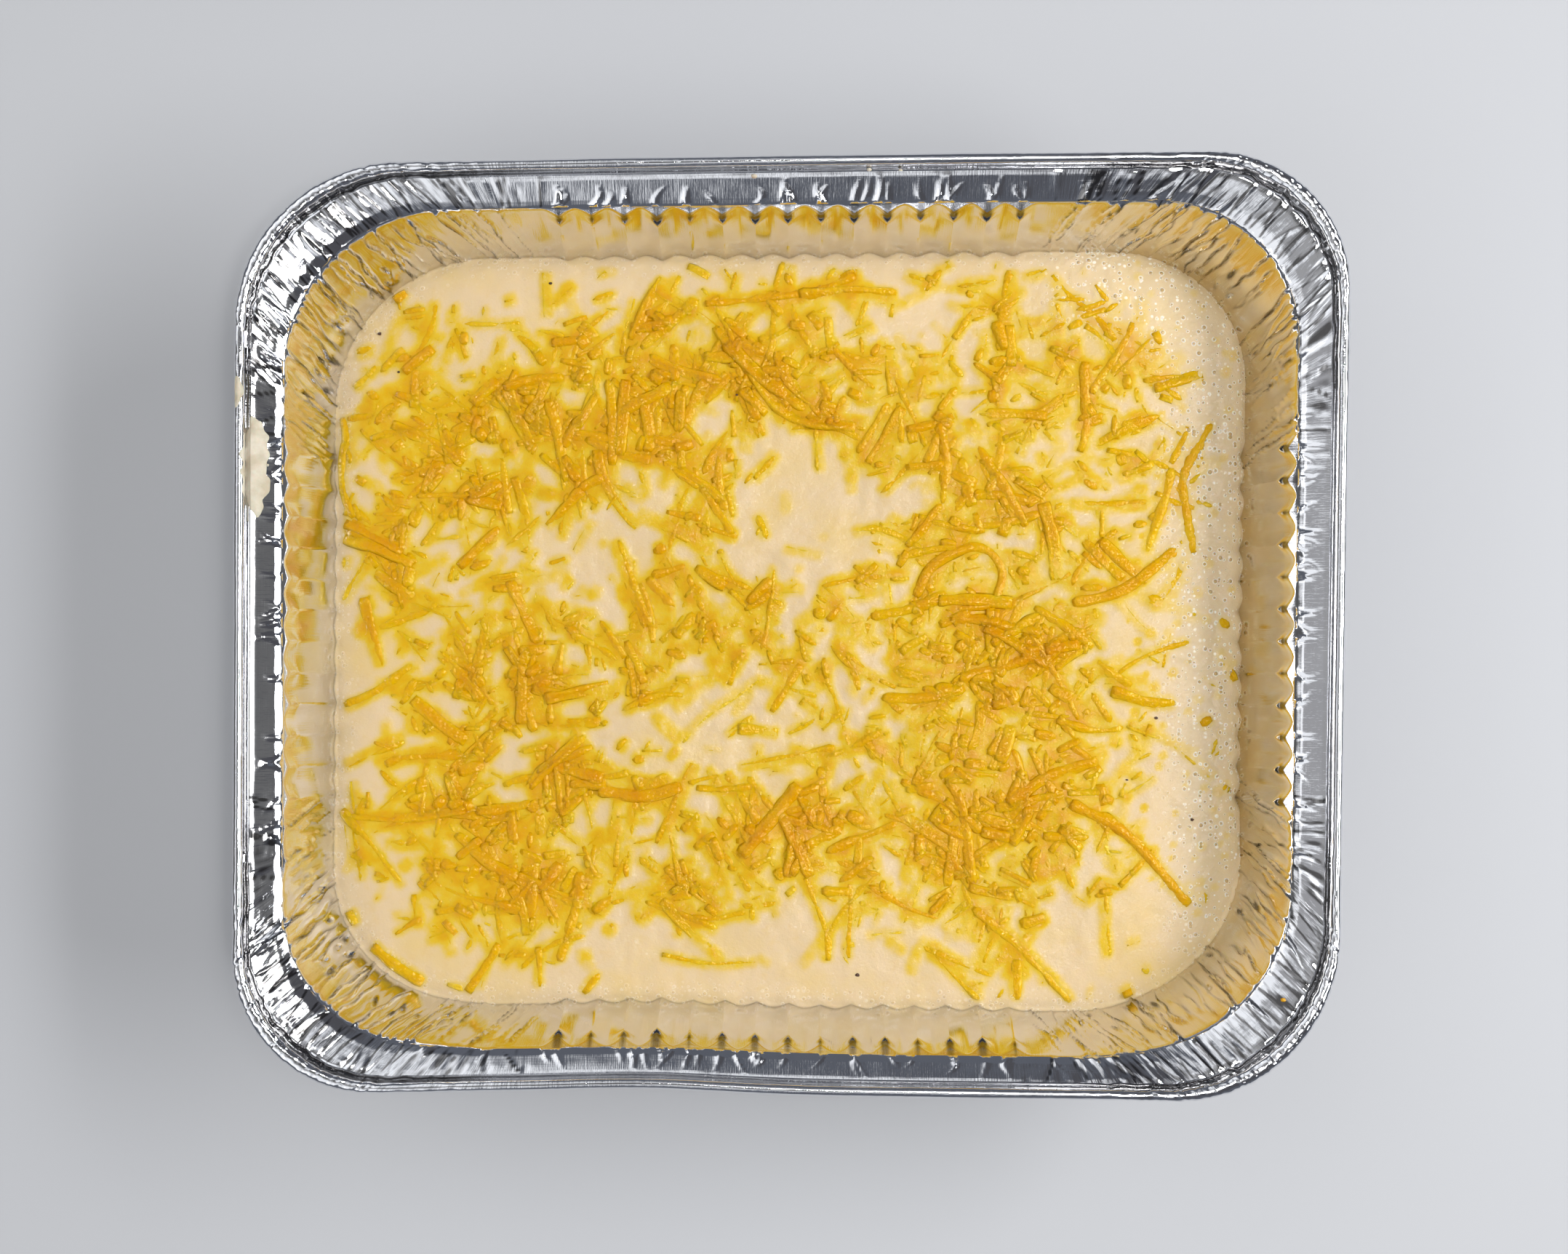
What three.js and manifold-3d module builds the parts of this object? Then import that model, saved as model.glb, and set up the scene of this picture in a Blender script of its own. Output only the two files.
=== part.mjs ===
import * as THREE from 'three';
import Module from 'manifold-3d';

// A tray meal: a wide aluminium foil tray with fluted walls and a rolled rim, part filled
// with a pale creamy bake that is strewn with shreds of half melted cheese.
// Millimetres, +Z up, +X along the long side, origin at the centre of the tray's underside.

// The tray's outline
const TRAY_LENGTH = 320;
const TRAY_WIDTH = 272;
const TRAY_HEIGHT = 62;
const CORNER_RADIUS = 43.5;
const CORNER_SKEW = 3.5; // two opposite corners are rounder by this, the other two tighter
const TIGHTER_FROM_INSET = 22; // further in, a corner's radius falls by a share of the inset
const CORNER_TIGHTENING = 0.4;
const LONG_SIDE_BOW = 1.8; // the long sides bend in by this at their middle
const RIGHT_FLARE = 0.0125; // the +X end is wider, and the -X end narrower, by this share
const FAR_FLARE = 0.01; // the +Y side is longer, and the -Y side shorter, by this share

// The tray's section, from the rolled edge inwards: insets count from the outline
const SHEET = 0.6; // thickness of the wall
const BEAD_RADIUS = 1.6;
const GROOVE = { inset: 3.8, z: TRAY_HEIGHT - 2.6 };
const RIDGE = { inset: 4.9, z: TRAY_HEIGHT - 1.8 };
const BEND = { inset: 7.4, z: TRAY_HEIGHT - 2.9 };
const SHOULDER = { inset: 10.4, z: TRAY_HEIGHT - 4.2 };
const INNER_EDGE = { inset: 13.3, z: TRAY_HEIGHT - 5.6 };
const LEDGE = { inset: 13.6, z: TRAY_HEIGHT - 6.0 };
const WALL_FOOT = { inset: 31.6, z: 5 };
const FOOT_CURVE = { inset: 33.6, z: 2 };
const FLOOR = { inset: 36.2, z: SHEET };

// Flutes and pleats of the wall
const FLUTES_LONG_SIDE = 16;
const FLUTES_SHORT_SIDE = 13;
const FLUTED_LENGTH_LONG_SIDE = 153;
const FLUTED_LENGTH_SHORT_SIDE = 121;
const FOLD_DEPTH_TOP = 2.7;
const FOLD_DEPTH_FOOT = 0.35;
const LEDGE_DROP = 0.5; // the ledge over a fold slopes down by this
const PLEATS_PER_CORNER = 13;
const PLEAT_DEPTHS = [0.25, 0.6]; // shares of a flute's depth
const FOLD_PLACES = [0.35, 0.65]; // where in its pleat a fold may lie
const BEAD_STEPS = 8;
const BEAD_ARC = [-45, 270]; // degrees, from the groove over the top and down under the rim
const CORNER_STEPS = 9;
const SIDE_STEPS = 5;

// The filling
const FILL_GAP = 0.3;
const FILL_EDGE_Z = 31.5;
const FILL_DOME = 2.6; // the surface rises by this away from the wall
const DOME_REACH = 4.5;
const LUMP_HEIGHT = 0.7;
const LUMP_SIZE = { x: 15.5, y: 13.5 };
const LUMP_PHASE = { x: 1.3, y: -0.4 };
const HEAP_RISE = 2.2; // the surface swells by this under the thickest cheese
const SURFACE_RINGS = [0.985, 0.95, 0.88, 0.79, 0.69, 0.58, 0.46, 0.33, 0.18]; // shares of the outline
const FILL_CORNER_STEPS = 9;
const FILL_SIDE_STEPS = 7;

// Cheese shreds, and the heaps that they are thickest in
const SHRED_COUNT = 90;
const SHRED_WIDTH = 4.4;
const SHRED_THICKNESS = 2.5;
const SHRED_TIP_SHARE = 0.8; // width at its ends
const SHRED_LENGTHS = [15, 42];
const SHRED_STEP = 9;
const SHRED_BEND = 0.022; // radians of turn in each millimetre, at most
const SHRED_SINK = 0.35; // share of the thickness below the surface
const SHRED_TIP_LIFT = 0.9;
const SHRED_WALL_CLEARANCE = 5;
const SHRED_SPACING = 8.5; // least distance between two middles
const SEED = 2287;
const HEAPS = [
  { x: -52, y: 70, spreadX: 27, spreadY: 27, share: 1 },
  { x: -83, y: 42, spreadX: 32, spreadY: 22, share: 0.9 },
  { x: -117, y: 70, spreadX: 22, spreadY: 30, share: 0.4 },
  { x: -86, y: -66, spreadX: 28, spreadY: 27, share: 1 },
  { x: -48, y: -62, spreadX: 36, spreadY: 20, share: 0.8 },
  { x: -104, y: -18, spreadX: 30, spreadY: 16, share: 0.5 },
  { x: -58, y: -12, spreadX: 24, spreadY: 24, share: 0.55 },
  { x: 12, y: 2, spreadX: 32, spreadY: 22, share: 0.6 },
  { x: 10, y: -66, spreadX: 32, spreadY: 18, share: 0.6 },
  { x: 66, y: -48, spreadX: 36, spreadY: 42, share: 1 },
  { x: 84, y: 14, spreadX: 34, spreadY: 26, share: 0.65 },
  { x: 84, y: 80, spreadX: 24, spreadY: 28, share: 0.75 },
  { x: 12, y: 82, spreadX: 44, spreadY: 22, share: 0.45 },
];

const FOIL = { color: 0xc9cbce, roughness: 0.22, metalness: 1 };
const BAKE = { color: 0xf0d49c, roughness: 0.45, metalness: 0 };

const wasm = await Module();
wasm.setup();

// Repeatable random numbers between low and high
function seededRandom(seed) {
  let state = seed;
  return (low = 0, high = 1) => {
    state = (state + 0x6d2b79f5) | 0;
    let mixed = Math.imul(state ^ (state >>> 15), 1 | state);
    mixed = (mixed + Math.imul(mixed ^ (mixed >>> 7), 61 | mixed)) ^ mixed;
    return low + (high - low) * (((mixed ^ (mixed >>> 14)) >>> 0) / 4294967296);
  };
}

// ---- Plan: sides and corners go round from the +X side, counter-clockwise ----

function cornerRadius(corner, inset) {
  const below = Math.max(0, inset - TIGHTER_FROM_INSET);
  return CORNER_RADIUS + (corner % 2 ? CORNER_SKEW : -CORNER_SKEW) - CORNER_TIGHTENING * below;
}

function halfSpans(side, inset) {
  const halves = [TRAY_LENGTH / 2 - inset, TRAY_WIDTH / 2 - inset];
  return { out: halves[side % 2], along: halves[(side + 1) % 2] };
}

// A foil tray is never quite square: it bows, and one end is wider
function handFormed(x, y, z) {
  const across = (2 * x) / TRAY_LENGTH;
  const up = (2 * y) / TRAY_WIDTH;
  const bow = LONG_SIDE_BOW * (1 - across * across) * up;
  return [x * (1 + FAR_FLARE * up), y * (1 + RIGHT_FLARE * across) - bow, z];
}

// A column is a place round the tray. On a side it has a fixed distance along it, or a share
// of the straight, and on a corner it has an angle. Its lap tells how far round it is.
function planPoint(column, inset) {
  const turn = (column.side * Math.PI) / 2;
  const out = new THREE.Vector2(Math.cos(turn), Math.sin(turn));
  const along = new THREE.Vector2(-out.y, out.x);
  const half = halfSpans(column.side, inset);
  if (column.angle !== undefined) {
    const radius = cornerRadius(column.side, inset);
    const reachOut = half.out - radius + radius * Math.cos(column.angle);
    const reachAlong = half.along - radius + radius * Math.sin(column.angle);
    return out.multiplyScalar(reachOut).addScaledVector(along, reachAlong);
  }
  const start = cornerRadius((column.side + 3) % 4, inset) - half.along;
  const end = half.along - cornerRadius(column.side, inset);
  const reach = column.distance ?? THREE.MathUtils.lerp(start, end, column.share);
  return out.multiplyScalar(half.out).addScaledVector(along, reach);
}

function cornerColumn(side, share, fold = 0) {
  return { side, angle: (share * Math.PI) / 2, lap: 2 * side + 1 + share, fold };
}

function plainColumns(sideSteps, cornerSteps) {
  const columns = [];
  for (let side = 0; side < 4; side += 1) {
    for (let step = 1; step < sideSteps; step += 1) {
      const share = step / sideSteps;
      columns.push({ side, share, lap: 2 * side + share, fold: 0 });
    }
    for (let step = 0; step <= cornerSteps; step += 1) {
      columns.push(cornerColumn(side, step / cornerSteps));
    }
  }
  return columns;
}

// Flutes bulge outwards between sharp folds that point into the tray
function fluteColumns(side) {
  const onLongSide = side % 2 === 1;
  const flutes = onLongSide ? FLUTES_LONG_SIDE : FLUTES_SHORT_SIDE;
  const length = onLongSide ? FLUTED_LENGTH_LONG_SIDE : FLUTED_LENGTH_SHORT_SIDE;
  const straight = 2 * (halfSpans(side, INNER_EDGE.inset).along - CORNER_RADIUS);
  const columns = [];
  for (let third = 0; third <= 3 * flutes; third += 1) {
    const distance = length * (third / (3 * flutes) - 0.5);
    const folded = third % 3 === 0 && third > 0 && third < 3 * flutes;
    const lap = 2 * side + 0.5 + distance / straight;
    columns.push({ side, distance, lap, fold: folded ? 1 : 0 });
  }
  return columns;
}

// Pleats take up the spare foil round a corner, and no two are alike
function pleatColumns(side, random) {
  const columns = [];
  for (let pleat = 0; pleat < PLEATS_PER_CORNER; pleat += 1) {
    const foldShare = (pleat + random(...FOLD_PLACES)) / PLEATS_PER_CORNER;
    columns.push(cornerColumn(side, pleat / PLEATS_PER_CORNER));
    columns.push(cornerColumn(side, foldShare, random(...PLEAT_DEPTHS)));
  }
  columns.push(cornerColumn(side, 1));
  return columns;
}

function foldedColumns() {
  const random = seededRandom(SEED);
  const columns = [];
  for (let side = 0; side < 4; side += 1) {
    columns.push(...fluteColumns(side), ...pleatColumns(side, random));
  }
  return columns;
}

// ---- Skins: closed surfaces built from rings, each ring counter-clockwise from above ----

class Skin {
  constructor() {
    this.positions = [];
    this.faces = [];
  }

  vertex(x, y, z) {
    this.positions.push(x, y, z);
    return this.positions.length / 3 - 1;
  }

  // One ring of the tray's section, with its folds pressed in and their ledge let down
  ring(columns, { inset, z }, foldDepth = 0, foldDrop = 0) {
    const vertices = columns.map((column) => {
      const point = planPoint(column, inset + column.fold * foldDepth);
      return this.vertex(...handFormed(point.x, point.y, z - column.fold * foldDrop));
    });
    return { vertices, laps: columns.map((column) => column.lap), z };
  }

  // Joins two rings that may have different numbers of vertices. At a tie the higher ring
  // goes first, so that the two faces of the sheet are split along the same diagonals.
  band(from, to) {
    const fromCount = from.vertices.length;
    const toCount = to.vertices.length;
    const lapOf = (ring, index, count) => ring.laps[index % count] + (index >= count ? 8 : 0);
    let i = 0;
    let j = 0;
    while (i < fromCount || j < toCount) {
      const a = from.vertices[i % fromCount];
      const b = to.vertices[j % toCount];
      const nextFrom = i < fromCount ? lapOf(from, i + 1, fromCount) : Infinity;
      const nextTo = j < toCount ? lapOf(to, j + 1, toCount) : Infinity;
      if (nextFrom < nextTo || (nextFrom === nextTo && from.z > to.z)) {
        i += 1;
        this.faces.push(a, b, from.vertices[i % fromCount]);
      } else {
        j += 1;
        this.faces.push(a, b, to.vertices[j % toCount]);
      }
    }
  }

  // Closes the skin to one point, at its start (facing up) or at its end (facing down)
  fan(ring, tip, atStart) {
    const count = ring.vertices.length;
    for (let i = 0; i < count; i += 1) {
      const here = ring.vertices[i];
      const next = ring.vertices[(i + 1) % count];
      this.faces.push(here, ...(atStart ? [next, tip] : [tip, next]));
    }
  }

  bands(rings) {
    for (let i = 1; i < rings.length; i += 1) {
      this.band(rings[i - 1], rings[i]);
    }
  }

  geometry() {
    const geometry = new THREE.BufferGeometry();
    geometry.setAttribute('position', new THREE.Float32BufferAttribute(this.positions, 3));
    geometry.setIndex(this.faces);
    geometry.computeVertexNormals();
    return geometry;
  }
}

// ---- Foil tray ----

// The outer face of the sheet, behind a section drawn from the middle of the floor outwards
function outerFace(section) {
  const normals = section.map((point, index) => {
    const before = section[index - 1] ?? { inset: point.inset + 1, z: point.z };
    return new THREE.Vector2(before.z - point.z, point.inset - before.inset).normalize();
  });
  return section.map((point, index) => {
    const normal = normals[index];
    const mitre = normal.clone().add(normals[index + 1] ?? normal).normalize();
    mitre.multiplyScalar(SHEET / mitre.dot(normal));
    return { inset: point.inset + mitre.x, z: point.z + mitre.y };
  });
}

// Rings of one face of the sheet, of which those of the wall and of the inner edge have folds
function faceRings(skin, section, plain, folded) {
  const [floor, footCurve, wallFoot, ledge, innerEdge, ...rim] = section;
  return [
    skin.ring(plain, floor),
    skin.ring(plain, footCurve),
    skin.ring(folded, wallFoot, FOLD_DEPTH_FOOT),
    skin.ring(folded, ledge, FOLD_DEPTH_TOP, LEDGE_DROP),
    skin.ring(folded, innerEdge),
    ...rim.map((place) => skin.ring(plain, place)),
  ];
}

function trayGeometry() {
  const skin = new Skin();
  const plain = plainColumns(SIDE_STEPS, CORNER_STEPS);
  const folded = foldedColumns();
  const section = [FLOOR, FOOT_CURVE, WALL_FOOT, LEDGE, INNER_EDGE, SHOULDER, BEND, RIDGE, GROOVE];
  const inside = faceRings(skin, section, plain, folded);
  const bead = [];
  for (let step = 0; step < BEAD_STEPS; step += 1) {
    const degrees = THREE.MathUtils.lerp(...BEAD_ARC, step / (BEAD_STEPS - 1));
    const angle = THREE.MathUtils.degToRad(degrees);
    const inset = BEAD_RADIUS * (1 + Math.cos(angle));
    bead.push(skin.ring(plain, { inset, z: TRAY_HEIGHT - BEAD_RADIUS * (1 - Math.sin(angle)) }));
  }
  const outside = faceRings(skin, outerFace(section), plain, folded).reverse();
  skin.fan(inside[0], skin.vertex(0, 0, SHEET), true);
  skin.bands([...inside, ...bead, ...outside]);
  skin.fan(outside.at(-1), skin.vertex(0, 0, 0), false);
  return skin.geometry();
}

// ---- Filling ----

// Inset of the wall's face, with its folds, at a height
function wallInset(z) {
  const rise = (z - WALL_FOOT.z) / (LEDGE.z - WALL_FOOT.z);
  const fold = THREE.MathUtils.lerp(FOLD_DEPTH_FOOT, FOLD_DEPTH_TOP, rise);
  return THREE.MathUtils.lerp(WALL_FOOT.inset, LEDGE.inset, rise) + fold;
}

const FILL_INSET = wallInset(FILL_EDGE_Z) + FILL_GAP;

// Distance from a point inwards of the filling's outline, negative outside it
function distanceInside(x, y) {
  const corner = y > 0 ? (x > 0 ? 0 : 1) : (x > 0 ? 3 : 2);
  const radius = cornerRadius(corner, FILL_INSET);
  const dx = Math.abs(x) - (TRAY_LENGTH / 2 - FILL_INSET - radius);
  const dy = Math.abs(y) - (TRAY_WIDTH / 2 - FILL_INSET - radius);
  const beyond = Math.hypot(Math.max(dx, 0), Math.max(dy, 0));
  return radius - beyond - Math.min(Math.max(dx, dy), 0);
}

// How thickly the cheese lies, from 0 on bare cream to 1 in a full heap
function cheeseCover(x, y) {
  const total = HEAPS.reduce((sum, heap) => {
    const reach = ((x - heap.x) / heap.spreadX) ** 2 + ((y - heap.y) / heap.spreadY) ** 2;
    return sum + heap.share * Math.exp(-reach);
  }, 0);
  return Math.min(total, 1);
}

function surfaceHeight(x, y) {
  const inside = Math.max(distanceInside(x, y), 0);
  const dome = 1 - Math.exp(-inside / DOME_REACH);
  const lumps = Math.sin(x / LUMP_SIZE.x + LUMP_PHASE.x) * Math.cos(y / LUMP_SIZE.y + LUMP_PHASE.y);
  return FILL_EDGE_Z + dome * (FILL_DOME + LUMP_HEIGHT * lumps + HEAP_RISE * cheeseCover(x, y));
}

// The creamy bake without its cheese
function bakeGeometry() {
  const skin = new Skin();
  const columns = plainColumns(FILL_SIDE_STEPS, FILL_CORNER_STEPS);
  const laps = columns.map((column) => column.lap);
  const edge = columns.map((column) => planPoint(column, FILL_INSET));
  const surface = SURFACE_RINGS.map((share) => {
    const vertices = edge.map((point) => {
      const x = point.x * share;
      const y = point.y * share;
      return skin.vertex(...handFormed(x, y, surfaceHeight(x, y)));
    });
    return { vertices, laps };
  }).reverse();
  const rings = [
    ...surface,
    skin.ring(columns, { inset: FILL_INSET, z: FILL_EDGE_Z }),
    skin.ring(columns, { inset: wallInset(WALL_FOOT.z) + FILL_GAP, z: WALL_FOOT.z }),
    skin.ring(columns, { inset: FOOT_CURVE.inset + FILL_GAP, z: FOOT_CURVE.z + FILL_GAP }),
    skin.ring(columns, { inset: FLOOR.inset + FILL_GAP, z: FLOOR.z + FILL_GAP }),
  ];
  skin.fan(rings[0], skin.vertex(0, 0, surfaceHeight(0, 0)), true);
  skin.bands(rings);
  skin.fan(rings.at(-1), skin.vertex(0, 0, FLOOR.z + FILL_GAP), false);
  return skin.geometry();
}

// The middle line of a shred: a gentle arc in plan that follows the surface, one tip raised
function shredLine(shred) {
  const steps = Math.max(2, Math.round(shred.length / SHRED_STEP));
  const lift = SHRED_THICKNESS * (0.5 - SHRED_SINK);
  const points = [];
  for (let step = 0; step <= steps; step += 1) {
    const reach = shred.length * (step / steps - 0.5);
    const heading = shred.heading + shred.bend * reach * 0.5;
    const x = shred.x + reach * Math.cos(heading);
    const y = shred.y + reach * Math.sin(heading);
    const raised = Math.max(0, shred.tilt * (2 * step / steps - 1));
    const inset = SHRED_WALL_CLEARANCE - distanceInside(x, y);
    if (inset > 0) {
      return null;
    }
    points.push(new THREE.Vector3(x, y, surfaceHeight(x, y) + lift + raised));
  }
  return points;
}

// A flat strip along the middle line, a little narrower at its ends
function shredGeometry(line) {
  const skin = new Skin();
  const rings = line.map((point, index) => {
    const before = line[Math.max(index - 1, 0)];
    const after = line[Math.min(index + 1, line.length - 1)];
    const across = new THREE.Vector2(before.y - after.y, after.x - before.x).normalize();
    const atTip = index === 0 || index === line.length - 1;
    const half = (SHRED_WIDTH / 2) * (atTip ? SHRED_TIP_SHARE : 1);
    const corners = [[-1, -1], [1, -1], [1, 1], [-1, 1]];
    return corners.map(([side, level]) => {
      const x = point.x + across.x * half * side;
      const y = point.y + across.y * half * side;
      return skin.vertex(...handFormed(x, y, point.z + (level * SHRED_THICKNESS) / 2));
    });
  });
  for (let i = 1; i < rings.length; i += 1) {
    for (let k = 0; k < 4; k += 1) {
      const next = (k + 1) % 4;
      skin.faces.push(rings[i - 1][k], rings[i - 1][next], rings[i][next]);
      skin.faces.push(rings[i - 1][k], rings[i][next], rings[i][k]);
    }
  }
  const [start, end] = [rings[0], rings.at(-1)];
  skin.faces.push(start[0], start[2], start[1], start[0], start[3], start[2]);
  skin.faces.push(end[0], end[1], end[2], end[0], end[2], end[3]);
  return skin.geometry();
}

// Shreds fall where the cheese lies thickest, and keep a distance so that each one shows
function scatteredShreds() {
  const random = seededRandom(SEED);
  const shreds = [];
  while (shreds.length < SHRED_COUNT) {
    const shred = {
      x: random(-0.5, 0.5) * TRAY_LENGTH,
      y: random(-0.5, 0.5) * TRAY_WIDTH,
      heading: random(0, Math.PI),
      length: random(...SHRED_LENGTHS),
      bend: random(-1, 1) * SHRED_BEND,
      tilt: random(0, SHRED_TIP_LIFT),
    };
    const wanted = random() < cheeseCover(shred.x, shred.y);
    const crowded = shreds.some((other) => {
      return Math.hypot(other.x - shred.x, other.y - shred.y) < SHRED_SPACING;
    });
    shred.line = wanted && !crowded ? shredLine(shred) : null;
    if (shred.line) {
      shreds.push(shred);
    }
  }
  return shreds;
}

function toSolid(geometry) {
  const vertProperties = Float32Array.from(geometry.attributes.position.array);
  const triVerts = Uint32Array.from(geometry.index.array);
  return new wasm.Manifold(new wasm.Mesh({ numProp: 3, vertProperties, triVerts }));
}

function fromSolid(solid) {
  const mesh = solid.getMesh();
  const geometry = new THREE.BufferGeometry();
  geometry.setAttribute('position', new THREE.Float32BufferAttribute(mesh.vertProperties, 3));
  geometry.setIndex(Array.from(mesh.triVerts));
  geometry.computeVertexNormals();
  return geometry;
}

function fillingGeometry() {
  let filling = toSolid(bakeGeometry());
  for (const shred of scatteredShreds()) {
    filling = filling.add(toSolid(shredGeometry(shred.line)));
  }
  return fromSolid(filling);
}

// ---- Assembly ----

function namedMesh(name, geometry, finish) {
  const mesh = new THREE.Mesh(geometry, new THREE.MeshStandardMaterial(finish));
  mesh.name = name;
  return mesh;
}

const meal = new THREE.Group();
meal.add(namedMesh('foil_tray', trayGeometry(), FOIL));
meal.add(namedMesh('cheesy_filling', fillingGeometry(), BAKE));

export default meal;
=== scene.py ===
import math

import bpy
import numpy as np
from mathutils import Euler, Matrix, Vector


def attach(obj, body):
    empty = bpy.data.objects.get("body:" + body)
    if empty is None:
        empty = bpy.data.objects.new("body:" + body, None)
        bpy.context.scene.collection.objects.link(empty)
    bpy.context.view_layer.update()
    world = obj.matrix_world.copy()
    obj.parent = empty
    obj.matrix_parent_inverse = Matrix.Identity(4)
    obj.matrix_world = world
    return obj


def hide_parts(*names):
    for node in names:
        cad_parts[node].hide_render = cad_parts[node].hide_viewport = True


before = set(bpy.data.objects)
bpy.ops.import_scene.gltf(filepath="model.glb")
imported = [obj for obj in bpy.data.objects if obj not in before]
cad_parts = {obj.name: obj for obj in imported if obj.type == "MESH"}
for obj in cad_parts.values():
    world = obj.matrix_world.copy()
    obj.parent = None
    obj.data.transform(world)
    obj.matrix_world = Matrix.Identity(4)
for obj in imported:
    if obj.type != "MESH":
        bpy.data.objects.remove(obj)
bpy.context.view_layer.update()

# A half-size foil tray of creamy bake, strewn with shreds of half melted cheese.
# Lengths are in millimetres until a mesh is made. +X runs along the tray, +Z is up.
MM = 0.001
SEED = 2287

# The tray's outline and section: the same driving dimensions as its solids
TRAY_LENGTH = 320
TRAY_WIDTH = 272
TRAY_HEIGHT = 62
CORNER_RADIUS = 43.5
CORNER_SKEW = 3.5
TIGHTER_FROM_INSET = 22
CORNER_TIGHTENING = 0.4
RIGHT_FLARE = 0.0125
RIGHT_SLANT = 0.018  # lean of the right side, and of the left side
LEFT_SLANT = 0.002
NEAR_DENT = (-42, 32, 1.5)  # where the near side is pressed in: middle, spread, depth
BEAD_RADIUS = 1.6
INNER_EDGE = (13.3, 56.4)
LEDGE = (13.6, 56.0)
WALL_FOOT = (31.6, 5.0)
FOOT_CURVE = (33.6, 2.0)
FLOOR_INSET = 36.2
FOIL = 0.3  # thickness of the sheet

# Flutes, counted for a short side (even) and a long side (odd)
FLUTES = (13, 16)
FLUTED_LENGTH = (121, 153)
LEFT_FLUTES = 0.5  # the left side's flutes are shallower
FOLD_DEPTH_TOP = 2.7
FOLD_DEPTH_FOOT = 0.35
CUSP_DROP = 3.4  # how far below the edge the folds reach their full depth

# The filling
FILL_EDGE_Z = 31.5
FILL_DOME = 2.6
DOME_REACH = 4.5
LUMP_HEIGHT = 0.7
LUMP_SIZE = (15.5, 13.5)
LUMP_PHASE = (1.3, -0.4)

# Where the cheese lies thickest: x, y, spread along x and y, share
HEAPS = (
    (-54, 70, 30, 28, 1.1),
    (-94, 50, 30, 24, 1.0),
    (-86, -8, 24, 28, 0.9),
    (-78, -68, 40, 24, 1.2),
    (6, -64, 30, 17, 0.95),
    (62, -50, 34, 42, 1.15),
    (58, 2, 44, 22, 0.8),
    (-16, 0, 32, 14, 0.8),
    (46, 46, 22, 22, 0.75),
    (84, 72, 28, 28, 0.75),
    (2, 76, 34, 18, 0.8),
    (66, 92, 18, 14, 0.5),
    (-30, -20, 50, 12, 0.4),
    (10, 104, 34, 10, 0.5),
    (-120, 100, 20, 24, 0.5),
    (-24, 48, 16, 14, 0.6),
    (108, 54, 16, 30, 0.5),
    (-122, 28, 17, 46, 0.5),
    (-112, -56, 14, 26, 0.35),
)
# and where the cream stays bare
BARE_PATCHES = (
    (6, 34, 20, 12, 0.9),
    (-22, -42, 14, 9, 0.8),
    (-84, 112, 22, 10, 0.9),
    (130, 40, 10, 80, 0.8),
    (112, -96, 22, 24, 0.9),
    (-2, -110, 44, 12, 0.95),
    (-96, -106, 20, 10, 0.6),
)


# ---------------------------------------------------------------- numbers

def smoothstep(low, high, value):
    share = np.clip((value - low) / (high - low), 0, 1)
    return share * share * (3 - 2 * share)


def between(start, end, value):
    """1 between two ramps, each given by where it begins and where it is over."""
    return smoothstep(*start, value) * (1 - smoothstep(*end, value))


def bell(offset, spread):
    """1 at no offset, about a third at the spread, and soon nothing beyond it."""
    return np.exp(-(offset / spread) ** 2)


def lerp(low, high, share):
    return low + (high - low) * share


NOISE_TABLE = np.random.default_rng(SEED).permutation(256)
NOISE_VALUES = np.random.default_rng(SEED + 1).uniform(-1, 1, 256)


def noise(x, y, z=0.0):
    """Smooth value noise between -1 and 1, with one lump for each unit of x, y and z."""
    x, y, z = np.broadcast_arrays(x, y, z)
    cells = [np.floor(value).astype(int) for value in (x, y, z)]
    shares = [smoothstep(0, 1, value - cell) for value, cell in zip((x, y, z), cells)]
    total = np.zeros(x.shape)
    for corner in np.ndindex(2, 2, 2):
        key = 0
        for cell, beyond in zip(cells[::-1], corner[::-1]):
            key = NOISE_TABLE[(key + cell + beyond) % 256]
        weight = 1
        for share, beyond in zip(shares, corner):
            weight = weight * (share if beyond else 1 - share)
        total += weight * NOISE_VALUES[key]
    return total


def length_along(x, y):
    """Length of a line up to each of its points."""
    return np.concatenate([[0], np.cumsum(np.hypot(np.diff(x), np.diff(y)))])


# ---------------------------------------------------------------- meshes

def mesh_object(name, points, faces, material, sharp_degrees=None, **attributes):
    """A smooth shaded piece from arrays of points in millimetres and faces."""
    mesh = bpy.data.meshes.new(name)
    mesh.from_pydata((np.asarray(points) * MM).tolist(), [], faces)
    mesh.polygons.foreach_set("use_smooth", np.ones(len(mesh.polygons), bool))
    for key, values in attributes.items():
        values = np.asarray(values, np.float32)
        kind = "FLOAT_VECTOR" if values.ndim == 2 else "FLOAT"
        layer = mesh.attributes.new(key, kind, "POINT")
        layer.data.foreach_set("vector" if values.ndim == 2 else "value", values.ravel())
    if sharp_degrees:
        mesh.set_sharp_from_angle(angle=math.radians(sharp_degrees))
    mesh.materials.append(material)
    mesh.update()
    piece = bpy.data.objects.new(name, mesh)
    bpy.context.scene.collection.objects.link(piece)
    return piece


def grid_faces(rows, columns, wrap_rows=False, wrap_columns=True, first=0):
    """Quads of a grid, which may close on itself either way."""
    row, column = np.mgrid[:rows - (not wrap_rows), :columns - (not wrap_columns)]
    after_row = (row + 1) % rows
    after = (column + 1) % columns
    quads = np.stack([row * columns + column, row * columns + after,
                      after_row * columns + after, after_row * columns + column], -1)
    return (quads.reshape(-1, 4) + first).tolist()


# ---------------------------------------------------------------- plan of the tray
# Sides and corners go round from the +X side, counter-clockwise. A station is a place
# round the tray: on a corner it has an angle, and on a side a reach along it, made of a
# fixed distance and of shares of where the straight starts and ends.

END_ZONE_STEPS = (22, 34)
STEPS_PER_FLUTE = 14
CORNER_STEPS = 168


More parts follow.
